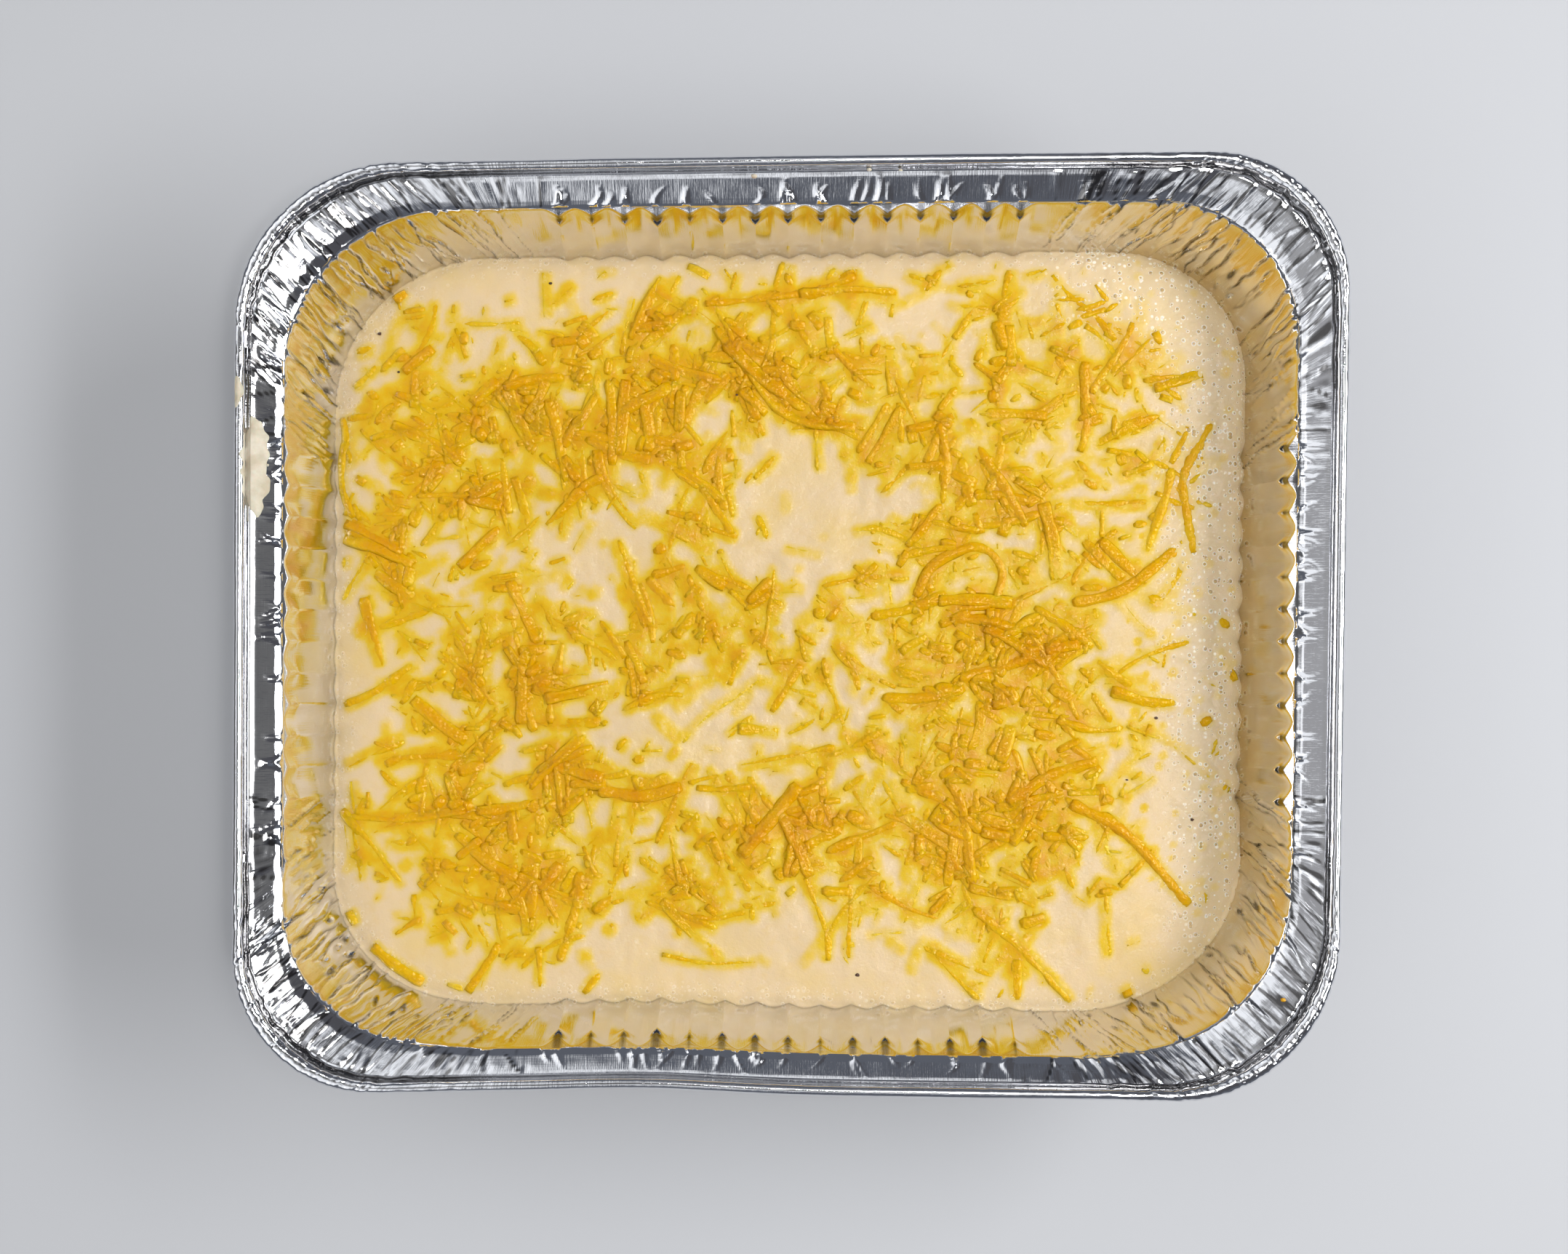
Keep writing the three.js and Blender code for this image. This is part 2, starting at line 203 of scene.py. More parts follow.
def straight_stations(side):
    """A side's stations: up to its flutes, along them, and on to its end."""
    flutes, length = FLUTES[side % 2], FLUTED_LENGTH[side % 2]
    steps = END_ZONE_STEPS[side % 2]
    rows = []
    for step in range(steps):
        share = step / steps
        rows.append((side, 0, -length / 2 * share, 1 - share, 0, -1))
    for step in range(flutes * STEPS_PER_FLUTE + 1):
        place = step / STEPS_PER_FLUTE
        rows.append((side, 0, length * (place / flutes - 0.5), 0, 0, place))
    for step in range(1, steps):
        share = step / steps
        rows.append((side, 0, length / 2 * (1 - share), 0, share, -1))
    return rows


def all_stations():
    rows = []
    for side in range(4):
        rows += straight_stations(side)
        for step in range(CORNER_STEPS):
            rows.append((side, 1, math.pi / 2 * step / CORNER_STEPS, 0, 0, -1))
    return np.array(rows).T


SIDE, ON_CORNER, VALUE, TO_START, TO_END, FLUTE_PLACE = all_stations()
SIDE = SIDE.astype(int)
ON_CORNER = ON_CORNER.astype(bool)
STATIONS = len(SIDE)


def corner_radius(corner, inset):
    below = np.maximum(0, inset - TIGHTER_FROM_INSET)
    skew = np.where(corner % 2 == 1, CORNER_SKEW, -CORNER_SKEW)
    return CORNER_RADIUS + skew - CORNER_TIGHTENING * below


def hand_formed(x, y):
    """Bends the true plan as the real tray is: slanted, dented, and wider at one end.

    Everything in the tray is laid out on the true plan and bent with it at the end."""
    across = 2 * x / TRAY_LENGTH
    up = 2 * y / TRAY_WIDTH
    middle, spread, depth = NEAR_DENT
    near_dent = smoothstep(-130, -80, x) + depth * bell(x - middle, spread)
    dent = np.where(y < 0, near_dent, 0.2 + 0.7 * across**2)
    wider = 2.0 * between((50, 112), (121, 132), -y)
    wider = wider * (1 - smoothstep(84, 112, np.abs(x)))
    slant = np.where(x > 0, RIGHT_SLANT, LEFT_SLANT)
    shift = 0.25 * np.clip(across, -1, 1) * (x < 0)
    return x * (1 + slant * up) + shift, y * (1 + RIGHT_FLARE * across) - dent * up - wider


def true_plan(inset):
    """x and y of every station at an inset (a number or an array), before it is bent."""
    inset = np.broadcast_to(inset, np.broadcast(inset, SIDE).shape)
    halves = (TRAY_LENGTH / 2 - inset, TRAY_WIDTH / 2 - inset)
    out = np.where(SIDE % 2 == 0, halves[0], halves[1])
    along = np.where(SIDE % 2 == 0, halves[1], halves[0])
    end_radius = corner_radius(SIDE, inset)
    start_radius = corner_radius((SIDE + 3) % 4, inset)
    start, end = start_radius - along, along - end_radius
    reach_along = VALUE + TO_START * start + TO_END * end
    reach_along = np.where(ON_CORNER, end + end_radius * np.sin(VALUE), reach_along)
    reach_out = np.where(ON_CORNER, out - end_radius + end_radius * np.cos(VALUE), out)
    turn = SIDE * math.pi / 2
    x = reach_out * np.cos(turn) - reach_along * np.sin(turn)
    y = reach_out * np.sin(turn) + reach_along * np.cos(turn)
    return x, y


def plan(inset):
    """x and y of every station at an inset from the outline, bent as the real tray is."""
    return hand_formed(*true_plan(inset))


EDGE_X, EDGE_Y = plan(INNER_EDGE[0])
EDGE_STEPS = np.hypot(np.roll(EDGE_X, -1) - EDGE_X, np.roll(EDGE_Y, -1) - EDGE_Y)
LAP = np.concatenate([[0], np.cumsum(EDGE_STEPS)[:-1]])  # millimetres round the inner edge
LAP_LENGTH = EDGE_STEPS.sum()


def lap_of(side, share):
    """Lap of a corner's start (share 0), middle or end (share 1)."""
    corner = np.flatnonzero(ON_CORNER & (SIDE == side))
    return LAP[corner[int(round(share * (len(corner) - 1)))]]


CORNER_MIDDLES = [lap_of(side, 0.5) for side in range(4)]


def lap_from(place):
    """Signed distance of every station from a place round the inner edge."""
    return (LAP - place + LAP_LENGTH / 2) % LAP_LENGTH - LAP_LENGTH / 2


CORNER_REACH = np.min([np.abs(lap_from(middle)) for middle in CORNER_MIDDLES], axis=0)
NEAR_CORNER = 1 - smoothstep(38, 62, CORNER_REACH)  # 1 where the spare foil is gathered


def flute_folds():
    """How far in the fold at each station lies, as a share of the depth."""
    random = np.random.default_rng(SEED + 2)
    folds = np.zeros(STATIONS)
    for side in range(4):
        depths = random.uniform(0.72, 1.15, FLUTES[side % 2] + 1)
        depths[0] = depths[-1] = 0
        here = (SIDE == side) & (FLUTE_PLACE >= 0)
        place = FLUTE_PLACE[here]
        nearest = np.round(place).astype(int)
        folds[here] = depths[nearest] * (1 - np.abs(np.sin(math.pi * place))) ** 0.85
    return folds * lerp(LEFT_FLUTES, 1, smoothstep(-146, -130, EDGE_X))


FOLDS = flute_folds()


# ---------------------------------------------------------------- creases of the foil

GATHERED = 56  # how far the creases reach to both sides of a corner's middle
CREASES_PER_CORNER = 66
WRINKLES_PER_CORNER = 60
NICKS = 64
KNUCKLES = 90  # single wrinkles of the rim, besides those at the flutes
PINCH_SPREAD = 0.36  # half width of a crease's fold, in millimetres
DARK_SPREAD = 0.3  # and of the painted shade line in it


def crease_paths():
    """Creases that cross the wall at the corners and run on over the shoulder."""
    random = np.random.default_rng(SEED + 3)
    creases = []
    for middle in CORNER_MIDDLES:
        places = np.linspace(-GATHERED, GATHERED, CREASES_PER_CORNER)
        for place in places + random.uniform(-1.6, 1.6, CREASES_PER_CORNER):
            sharp = random.random() < 0.55
            creases.append({
                "place": (middle + place) % LAP_LENGTH,
                "lean": 7.5 * place / 45 + random.normal(0, 1.2),
                "waves": random.uniform((0.2, 0.1), (0.9, 0.45)),
                "wave_lengths": random.uniform((4, 13), (8, 22)),
                "phases": random.uniform(0, 6.3, 2),
                "step": random.choice((-1, 1), p=(0.4, 0.6)) * random.uniform(0.05, 0.28),
                "pinch": random.uniform(0.3, 0.8) if sharp else random.uniform(0.0, 0.2),
                "reach": random.uniform(1.2, 3.2),
                "from": random.choice((-0.1, -0.1, 0.2, 0.45)),
                "to": random.choice((1.05, 1.05, 0.8, 0.6)),
            })
    return creases


CREASES = crease_paths()


def wall_relief(height):
    """Displacement of the wall towards the food, and the painted shade of its sharp creases.

    Height is 0 at the food and 1 at the inner edge."""
    height = np.asarray(height)[:, None]
    relief = np.zeros((len(height), STATIONS))
    shade = np.zeros_like(relief)
    for crease in CREASES:
        waves = sum(size * np.sin(length * height + phase) for size, length, phase
                    in zip(crease["waves"], crease["wave_lengths"], crease["phases"]))
        across = lap_from(crease["place"]) - crease["lean"] * (1 - height) - waves
        start, end = crease["from"], crease["to"]
        fade = between((start - 0.25, start), (end, end + 0.2), height)
        side = np.sign(crease["step"])
        tail = np.exp(-np.abs(across) / crease["reach"]) * smoothstep(-0.2, 0.2, across * side)
        pinch = crease["pinch"] * bell(across, PINCH_SPREAD)
        relief += fade * (abs(crease["step"]) * tail + pinch)
        beat = 0.55 + 0.45 * np.sin(9 * height + 3 * crease["phases"][0])
        # painted shade along each sharp crease
        shade += fade * beat * crease["pinch"] * bell(across, DARK_SPREAD)
    return relief, shade


def wall_nicks(height):
    """Short sharp dents in the corners, most of them low on the wall, with painted shade in them."""
    random = np.random.default_rng(SEED + 4)
    height = np.asarray(height)[:, None]
    relief = np.zeros((len(height), STATIONS))
    shade = np.zeros_like(relief)
    for _ in range(NICKS):
        middle = CORNER_MIDDLES[random.integers(4)] + random.uniform(-46, 46)
        low = 0.04 + 0.6 * random.random() ** 1.6
        lean = random.uniform(-14, 14)
        across = lap_from(middle % LAP_LENGTH) - lean * (height - low)
        shape = bell(across, random.uniform(0.4, 0.8))
        shape = shape * bell(height - low, random.uniform(0.03, 0.08))
        relief += random.choice((-0.8, 0.7)) * shape
        shade += random.uniform(0.3, 1.0) * shape
    return relief, shade


def shoulder_relief(across):
    """Displacement of the shoulder and the painted shade of its sharp wrinkles.

    Across is 0 at the inner edge and 1 at the bead's groove."""
    random = np.random.default_rng(SEED + 5)
    across = np.asarray(across)[:, None]
    relief = np.zeros((len(across), STATIONS))
    shade = np.zeros_like(relief)
    places = [crease["place"] for crease in CREASES]
    for middle in CORNER_MIDDLES:
        places += list(middle + random.uniform(-66, 66, WRINKLES_PER_CORNER))
    for place in places:
        width = random.uniform(0.22, 0.75) * lerp(0.7, 1.5, across)
        lean = random.normal(0, 1.8)
        start, end = sorted(random.uniform(-0.5, 1.4, 2))
        bend = random.uniform(-0.6, 0.6) * np.sin(math.pi * across)
        distance = lap_from(place % LAP_LENGTH) - lean * across - bend
        length = between((start - 0.2, start + 0.1), (end + 0.3, end + 0.6), across)
        size = random.choice((-1, 1)) * random.uniform(0.02, 0.17)
        relief += size * (0.4 + across) * length * bell(distance, width)
        # painted shade beside each wrinkle's fold
        line = length * bell(distance - 0.5 * width, DARK_SPREAD)
        shade += random.choice((0, 0.4, 1.0), p=(0.3, 0.35, 0.35)) * line
    for place in knuckles():
        reach = random.uniform(0.5, 1.0)
        along = np.clip(across / reach, 0, 1)
        width = random.uniform(0.55, 0.95) * (1 - 0.7 * along)
        lean = random.normal(0, 2.2)
        bend = random.normal(0, 0.8) * np.sin(math.pi * along)
        distance = lap_from(place) - lean * along**1.4 - bend
        size = random.uniform(0.45, 0.85) * (1 - along) ** 0.8 * smoothstep(-0.05, 0.05, across)
        relief += size * bell(distance, width)
    return relief, shade


def knuckles():
    """Places of the single wrinkles that cross the rim between the corners."""
    random = np.random.default_rng(SEED + 6)
    at_folds = np.flatnonzero((FLUTE_PLACE > 0) & (FLUTE_PLACE % 1 == 0))
    places = [LAP[index] + random.normal(0, 0.7) for index in at_folds if random.random() < 0.8]
    return places + list(random.uniform(0, LAP_LENGTH, KNUCKLES))


# ---------------------------------------------------------------- shells of foil

SHARP_FOLD = 52  # degrees from which a fold of the foil is shaded as an edge


def grid_normals(points):
    """Unit normals of a grid whose columns close on themselves, on the side that shows."""
    along = np.roll(points, -1, axis=1) - np.roll(points, 1, axis=1)
    across = np.gradient(points, axis=0)
    normals = np.cross(across, along)
    return normals / np.maximum(np.linalg.norm(normals, axis=2, keepdims=True), 1e-9)


def section_grid(insets, heights, fold_depths, drops):
    """Points of the tray's section at every station, with its flutes pressed in."""
    x, y = plan(insets[:, None] + fold_depths[:, None] * FOLDS)
    z = heights[:, None] - drops[:, None] * FOLDS
    return np.stack([x, y, z], -1)


def edge_noise(size, across=0.0):
    """Noise round the inner edge, with lumps of a size in millimetres."""
    return noise(EDGE_X / size, EDGE_Y / size, across)


def edge_wiggle():
    """The inner edge isn't a clean line where the foil is gathered."""
    fine = edge_noise(1.7) + 0.6 * edge_noise(0.8, 4)
    return NEAR_CORNER * 0.16 * fine + 0.12 * edge_noise(21, 9)


EDGE_WIGGLE = edge_wiggle()


def shell(name, front, thickness, back_rows, material, flow, shade, capped):
    """A closed thin shell: a front grid, and behind it some of its rows again."""
    normals = grid_normals(front)
    back = (front - normals * thickness)[back_rows][::-1]
    rows = np.concatenate([front, back])
    flows = np.concatenate([flow, flow[back_rows][::-1] * (1, 1, 0)])
    shades = np.concatenate([shade, shade[back_rows][::-1]]).ravel()
    points = rows.reshape(-1, 3)
    flows = flows.reshape(-1, 3)
    count = len(rows)
    faces = grid_faces(count, STATIONS, wrap_rows=not capped)
    if capped:
        first, last = len(points), len(points) + 1
        points = np.concatenate([points, [[0, 0, front[0, 0, 2]], [0, 0, back[-1, 0, 2]]]])
        flows = np.concatenate([flows, [[0, 0, 0], [0, 0, 0]]])
        shades = np.concatenate([shades, [0, 0]])
        last_row = (count - 1) * STATIONS
        for i in range(STATIONS):
            after = (i + 1) % STATIONS
            faces.append([i, first, after])
            faces.append([last_row + i, last_row + after, last])
    faces = [face[::-1] for face in faces]
    return mesh_object(name, points, faces, material, SHARP_FOLD, flow=flows, shade=shades)


def flow_of(points, across, grease_and_shade=0.0):
    """Coordinates that run round the foil and across its section, and the grease film on it with its
    painted shade.
    """
    lap = np.broadcast_to(LAP, points.shape[:2])
    return np.stack([lap, np.broadcast_to(across[:, None], lap.shape),
                     np.broadcast_to(grease_and_shade, lap.shape)], -1)


def wall_grease_and_shade(heights):
    """A thin film of fat on the inside of the wall that dulls the foil and carries painted shade and a
    painted warm reflection of the food, thickest low and on the right, where the wall lies in shade.
    """
    right = smoothstep(60, 138, EDGE_X) * (0.55 + 0.45 * smoothstep(-120, -70, EDGE_Y))
    film = 0.06 + 0.8 * right + 0.2 * smoothstep(80, 115, EDGE_Y) * (1 - right)
    heights = heights[:, None]
    film = film * (1 - 0.15 * smoothstep(34, 54, heights))
    ragged = 0.8 + 0.3 * edge_noise(5, heights / 9)
    return film * ragged * (1 - smoothstep(53, 55.5, heights))


def wall_rise(z):
    """0 at the wall's foot and 1 at its ledge."""
    return (z - WALL_FOOT[1]) / (LEDGE[1] - WALL_FOOT[1])


def wall_section(z):
    """Inset of the wall at a height, and the depth of its folds."""
    rise = wall_rise(z)
    return lerp(WALL_FOOT[0], LEDGE[0], rise), lerp(FOLD_DEPTH_FOOT, FOLD_DEPTH_TOP, rise)


# Rows of the wall: heights that the food hides, then even rows, and shares of the ledge
HIDDEN_ROWS = (WALL_FOOT[1], 14, 22, 27)
VISIBLE_FROM = 30
VISIBLE_ROWS = 29
LEDGE_ROWS = (0.35, 0.7)


def tray_body(material):
    """Floor, foot, fluted and creased wall, and the ledge up to the inner edge."""
    wall_z = np.concatenate([HIDDEN_ROWS, np.linspace(VISIBLE_FROM, LEDGE[1], VISIBLE_ROWS)])
    wall_insets, wall_folds = wall_section(wall_z)
    ledge = np.array(LEDGE_ROWS)
    insets = np.concatenate([[FLOOR_INSET, FOOT_CURVE[0]], wall_insets,
                             lerp(LEDGE[0], INNER_EDGE[0], ledge), [INNER_EDGE[0]]])
    heights = np.concatenate([[FOIL, FOOT_CURVE[1]], wall_z,
                              lerp(LEDGE[1], INNER_EDGE[1], ledge), [INNER_EDGE[1]]])
    depths = np.concatenate([[0, 0], wall_folds, FOLD_DEPTH_TOP * (1 - ledge), [0]])
    drops = np.concatenate([[0, 0], CUSP_DROP * smoothstep(0.88, 1, wall_rise(wall_z)),
                            CUSP_DROP * (1 - ledge), [0]])
    front = section_grid(insets, heights, depths, drops)
    height = (heights - FILL_EDGE_Z) / (LEDGE[1] - FILL_EDGE_Z)
    relief, shade = (sum(pair) for pair in zip(wall_relief(height), wall_nicks(height)))
    up = heights[:, None]
    relief += 0.05 * edge_noise(2.4, up / 12) * (0.3 + NEAR_CORNER)
    relief += 0.12 * edge_noise(9, up / 17)
    relief *= between((3, 12), (LEDGE[1] - 0.9, LEDGE[1] + 0.2), up)
    front = front + grid_normals(front) * relief[:, :, None]
    front[-1, :, :2] = np.stack(plan(INNER_EDGE[0] + EDGE_WIGGLE), -1)
    # painted shade at the crests of the folds just under the ledge, which hides the highlights they
    # catch
    crest = bell(up - 54.5, 2.2) * smoothstep(0.5, 0.85, FOLDS)
    shade = shade * smoothstep(25, 31, up) + 0.9 * crest
    back_rows = np.concatenate([np.arange(0, 6), np.arange(7, len(heights), 3)])
    across = length_along(insets, heights)
    return shell(name="foil_tray_body", front=front, thickness=FOIL, back_rows=back_rows,
                 material=material, flow=flow_of(front, across, wall_grease_and_shade(heights)),
                 shade=shade, capped=True)


# Section of the rim from the inner edge outwards: inset and height
RIM_SECTION = (
    (13.3, 56.4), (12.9, 56.75), (11.3, 57.85), (6.2, 60.31), (5.0, 60.68), (4.75, 60.4),
    (4.45, 59.85), (4.1, 59.5), (3.7, 59.32), (3.3, 59.3),
)
BEAD_ARC = (-42, 268)  # degrees, from the groove over the top and down under the rim
BEAD_STEPS = 17
RIM_STEP = 0.45


def rim_rows():
    """The rim's section at even steps, with the bead as an arc at its end."""
    corners = np.array(RIM_SECTION)
    lengths = length_along(*corners.T)
    even = np.linspace(0, lengths[-1], int(lengths[-1] / RIM_STEP))
    inset = np.interp(even, lengths, corners[:, 0])
    height = np.interp(even, lengths, corners[:, 1])
    angle = np.radians(np.linspace(*BEAD_ARC, BEAD_STEPS))
    bead_inset = BEAD_RADIUS * (1 + np.cos(angle))
    bead_height = TRAY_HEIGHT - BEAD_RADIUS * (1 - np.sin(angle))
    return np.concatenate([inset, bead_inset]), np.concatenate([height, bead_height]), len(even)


def bead_relief(out):
    """The rolled edge is crumpled and nicked at the corners, and nowhere quite straight."""
    crinkle = edge_noise(1.5, out / 1.3 + 20) + 0.7 * edge_noise(0.8, out / 1.1 + 40)
    nicks = np.minimum(edge_noise(0.9, 31) + 0.8 * edge_noise(2.2, 37) + 0.25, 0)
    nicks = nicks * (0.5 + 0.5 * edge_noise(6, 43))
    crumpled = crinkle * (0.03 + 0.12 * NEAR_CORNER) + 0.42 * NEAR_CORNER * nicks
    return crumpled + 0.12 * edge_noise(26, 7)


def tray_rim(material):
    """The stepped shoulder, the groove and the rolled bead."""
    insets, heights, bead_from = rim_rows()
    across = length_along(insets, heights)
    shoulder = np.clip(across / across[bead_from - 5], 0, 1.2)
    from_edge = INNER_EDGE[0] - insets
    shift = EDGE_WIGGLE * np.exp(-from_edge / 1.2)[:, None]
    groove_wiggle = NEAR_CORNER * edge_noise(3.1, 2) * 0.3
    at_groove = bell(insets - 4.3, 1.1)[:, None]
    x, y = plan(insets[:, None] + shift + groove_wiggle * at_groove)
    front = np.stack([x, y, np.broadcast_to(heights[:, None], x.shape)], -1)

    relief, shade = shoulder_relief(shoulder)
    undulation = np.where(FLUTE_PLACE >= 0, np.cos(2 * math.pi * FLUTE_PLACE), 0)
    out = across[:, None]
    relief += 0.03 * undulation * bell(shoulder - 0.4, 0.22)[:, None]
    relief += 0.05 * edge_noise(7, out / 6)
    relief += 0.05 * NEAR_CORNER * edge_noise(1.4, out / 1.6)
    on_shoulder = (smoothstep(0.0, 0.7, across) * (1 - smoothstep(0.8, 1.05, shoulder)))[:, None]
    on_bead = smoothstep(bead_from - 4, bead_from + 2, np.arange(len(insets)))[:, None]
    # painted shade along the bead's groove, deeper at the corners
    groove = bell(insets - 4.0, 0.45)[:, None] * (0.35 + 0.65 * NEAR_CORNER)
    shade = shade * on_shoulder + groove
    total = relief * on_shoulder + bead_relief(out) * on_bead
    front = front + grid_normals(front) * total[:, :, None]
    back_rows = np.arange(0, len(insets), 3)
    piece = shell(name="foil_tray_rim", front=front, thickness=FOIL, back_rows=back_rows,
                  material=material, flow=flow_of(front, across), shade=shade, capped=False)
    return piece, front


# ---------------------------------------------------------------- surface of the food

FILL_INSET = sum(wall_section(FILL_EDGE_Z))


def distance_inside(x, y):
    """Distance inwards of the filling's outline, negative outside it."""
    corner = np.where(y > 0, np.where(x > 0, 0, 1), np.where(x > 0, 3, 2))
    radius = corner_radius(corner, FILL_INSET)
    dx = np.abs(x) - (TRAY_LENGTH / 2 - FILL_INSET - radius)
    dy = np.abs(y) - (TRAY_WIDTH / 2 - FILL_INSET - radius)
    beyond = np.hypot(np.maximum(dx, 0), np.maximum(dy, 0))
    return radius - beyond - np.minimum(np.maximum(dx, dy), 0)


def patches(x, y, spots):
    return sum(share * np.exp(-((x - spot_x) / spread_x) ** 2 - ((y - spot_y) / spread_y) ** 2)
               for spot_x, spot_y, spread_x, spread_y, share in spots)


def cheese_cover(x, y):
    """How much of the cheese falls at a place, from 0 to 1."""
    bare = np.minimum(patches(x, y, BARE_PATCHES), 1)
    return np.minimum(patches(x, y, HEAPS), 1) * (1 - bare)


def cream_height(x, y):
    """The cream's own surface, without any cheese."""
    inside = np.maximum(distance_inside(x, y), 0)
    dome = 1 - np.exp(-inside / DOME_REACH)
    lumps = np.sin(x / LUMP_SIZE[0] + LUMP_PHASE[0]) * np.cos(y / LUMP_SIZE[1] + LUMP_PHASE[1])
    ripples = 0.28 * noise(x / 6.5, y / 6.5) + 0.12 * noise(x / 2.6, y / 2.6, 3)
    return FILL_EDGE_Z + dome * (FILL_DOME + LUMP_HEIGHT * lumps + ripples)


CELL = 0.5  # millimetres of the grid that the shreds are dropped on
GRID_REACH = (142, 118)
GRID_X, GRID_Y = (np.arange(-reach, reach + CELL, CELL) for reach in GRID_REACH)


def blur_kernel(sigma, step, reach):
    """Gaussian weights of the steps up to a reach, sigma in millimetres."""
    kernel = np.exp(-0.5 * (np.arange(-reach, reach + 1) * step / sigma) ** 2)
    return kernel / kernel.sum()


def blur(values, sigma):
    """Gaussian blur of a grid, sigma in millimetres."""
    reach = int(math.ceil(3 * sigma / CELL))
    kernel = blur_kernel(sigma, CELL, reach)
    for axis in (0, 1):
        padded = np.pad(values, [(reach, reach) if a == axis else (0, 0) for a in (0, 1)],
                        mode="edge")
        size = values.shape[axis]
        values = sum(weight * np.take(padded, np.arange(k, k + size), axis)
                     for k, weight in enumerate(kernel))
    return values


def sample(grid, x, y):
    """Bilinear values of a grid at points."""
    column = np.clip((x - GRID_X[0]) / CELL, 0, len(GRID_X) - 1.001)
    row = np.clip((y - GRID_Y[0]) / CELL, 0, len(GRID_Y) - 1.001)
    j, i = column.astype(int), row.astype(int)
    u, v = column - j, row - i
    low = grid[i, j] * (1 - u) + grid[i, j + 1] * u
    high = grid[i + 1, j] * (1 - u) + grid[i + 1, j + 1] * u
    return low * (1 - v) + high * v


# ---------------------------------------------------------------- cheese shreds

# Shreds that stand out, each by the points that its middle line passes
LANDMARKS = (
    ((20, 106), (5, 101), (-25, 98)), ((32, 100), (18, 101), (3, 100)),
    ((-22, 91), (-13, 79), (0, 64), (20, 60)), ((-19, 86), (-8, 75), (5, 66)),
    ((30, 67), (26, 60), (21, 52)), ((34, 66), (28, 55), (24, 49)),
    ((45, 61), (47, 50), (46, 37)), ((56, 54), (64, 42), (71, 30)),
    ((38, 9), (44, 19), (57, 24), (64, 17), (62, 7)), ((45, 8), (56, 8), (67, 7)),
    ((59, 0), (68, -5), (78, -12)), ((76, 37), (79, 26), (80, 14)),
    ((126, 61), (118, 45), (119, 33), (121, 22)), ((88, 26), (94, 20), (100, 14)),
    ((93, 26), (100, 19), (107, 13)), ((116, 23), (100, 11), (85, 7)),
    ((84, 37), (96, 36), (108, 37)), ((97, -19), (107, -22), (116, -23)),
    ((102, -29), (116, -35), (128, -45)), ((85, -53), (102, -62), (121, -83)),
    ((66, -53), (78, -45), (93, -40)), ((56, -83), (71, -95), (88, -112)),
    ((69, -98), (69, -110)), ((85, -113), (96, -111), (104, -108)),
    ((-15, -43), (0, -40), (14, -37)), ((-38, -99), (-24, -101), (-10, -100)),
    ((-57, -50), (-44, -52), (-32, -49)), ((-54, 75), (-53, 62), (-53, 49)),
    ((-49, 75), (-50, 63), (-51, 52)), ((-38, 106), (-43, 97), (-47, 87)),
    ((-123, 78), (-116, 85)), ((-135, 33), (-125, 28), (-116, 23)),
    ((-137, 28), (-124, 24), (-113, 19)), ((-128, 9), (-125, -4), (-123, -12)),
    ((-135, -25), (-124, -20), (-113, -12)), ((-135, -43), (-125, -38), (-116, -34)),
    ((-113, -22), (-104, -30), (-97, -35)), ((-135, -57), (-116, -58), (-97, -56)),
    ((-137, -52), (-127, -65), (-116, -79)), ((-136, -74), (-133, -84), (-129, -93)),
    ((-125, -97), (-118, -103), (-110, -108)), ((-87, -95), (-92, -103), (-97, -110)),
    ((-75, -96), (-75, -108)), ((-62, -110), (-57, -104)),
    ((-120, 99), (-111, 106)), ((-45, 13), (-42, 4), (-41, -5)),
    ((-52, 26), (-47, 12), (-42, 0)), ((-84, 14), (-79, 3), (-75, -5)),
    ((-99, 18), (-93, 24), (-87, 30)), ((-73, -22), (-63, -20), (-54, -18)),
    ((-28, 18), (-19, 12)), ((-12, 7), (-5, 14)), ((3, -48), (-5, -58), (-14, -69)),
    ((10, -79), (19, -79)), ((38, -48), (43, -38), (48, -29)),
)
LANDMARK_WIDTHS = (3.6, 5.0)

# Kinds of scattered shreds: how many, their least and greatest length and width, how
# strictly they keep to the heaps, and how much of their thickness is sunk
SUNK_LONG = (340, (12, 32), (3.4, 5.4), 1.0, (0.62, 0.88))
SUNK_SHORT = (760, (3.5, 12), (2.8, 5.2), 0.8, (0.6, 0.9))
LONG_SHREDS = (200, (11, 28), (3.3, 5.0), 1.3, (0.5, 0.78))
SHORT_SHREDS = (560, (3.5, 11), (2.8, 4.9), 1.2, (0.5, 0.8))
STRAY_BITS = (290, (1.8, 5.5), (1.6, 3.2), 0.3, (0.55, 0.85))
LANDMARK_SINK = (0.4, 0.65)
TIP_WIDTHS = (0.65, 0.95)  # width of a shred's cut end, as a share of its own
TIP_LENGTH = 1.5
RING_STEP = 1.4
LONG_FROM_RINGS = 12  # shreds of so many rings or more are in the piece of long ones
TOP_POINTS = 7
BASE_POINTS = 2
SECTION_POINTS = TOP_POINTS + BASE_POINTS
PILE_LIMIT = 4.2  # millimetres that the cheese can stand over the cream
STIFFNESS = 2.2  # over how many millimetres a shred levels out what it lies on
PROBES = (-0.42, -0.2, 0, 0.2, 0.42)  # places across a shred where it feels what lies under it
LANES = np.linspace(-1, 1, 13)
EDGE_MARGIN = (2, 1.4, 1.6)  # from the edge to a shred's middle, its line and a landmark's line


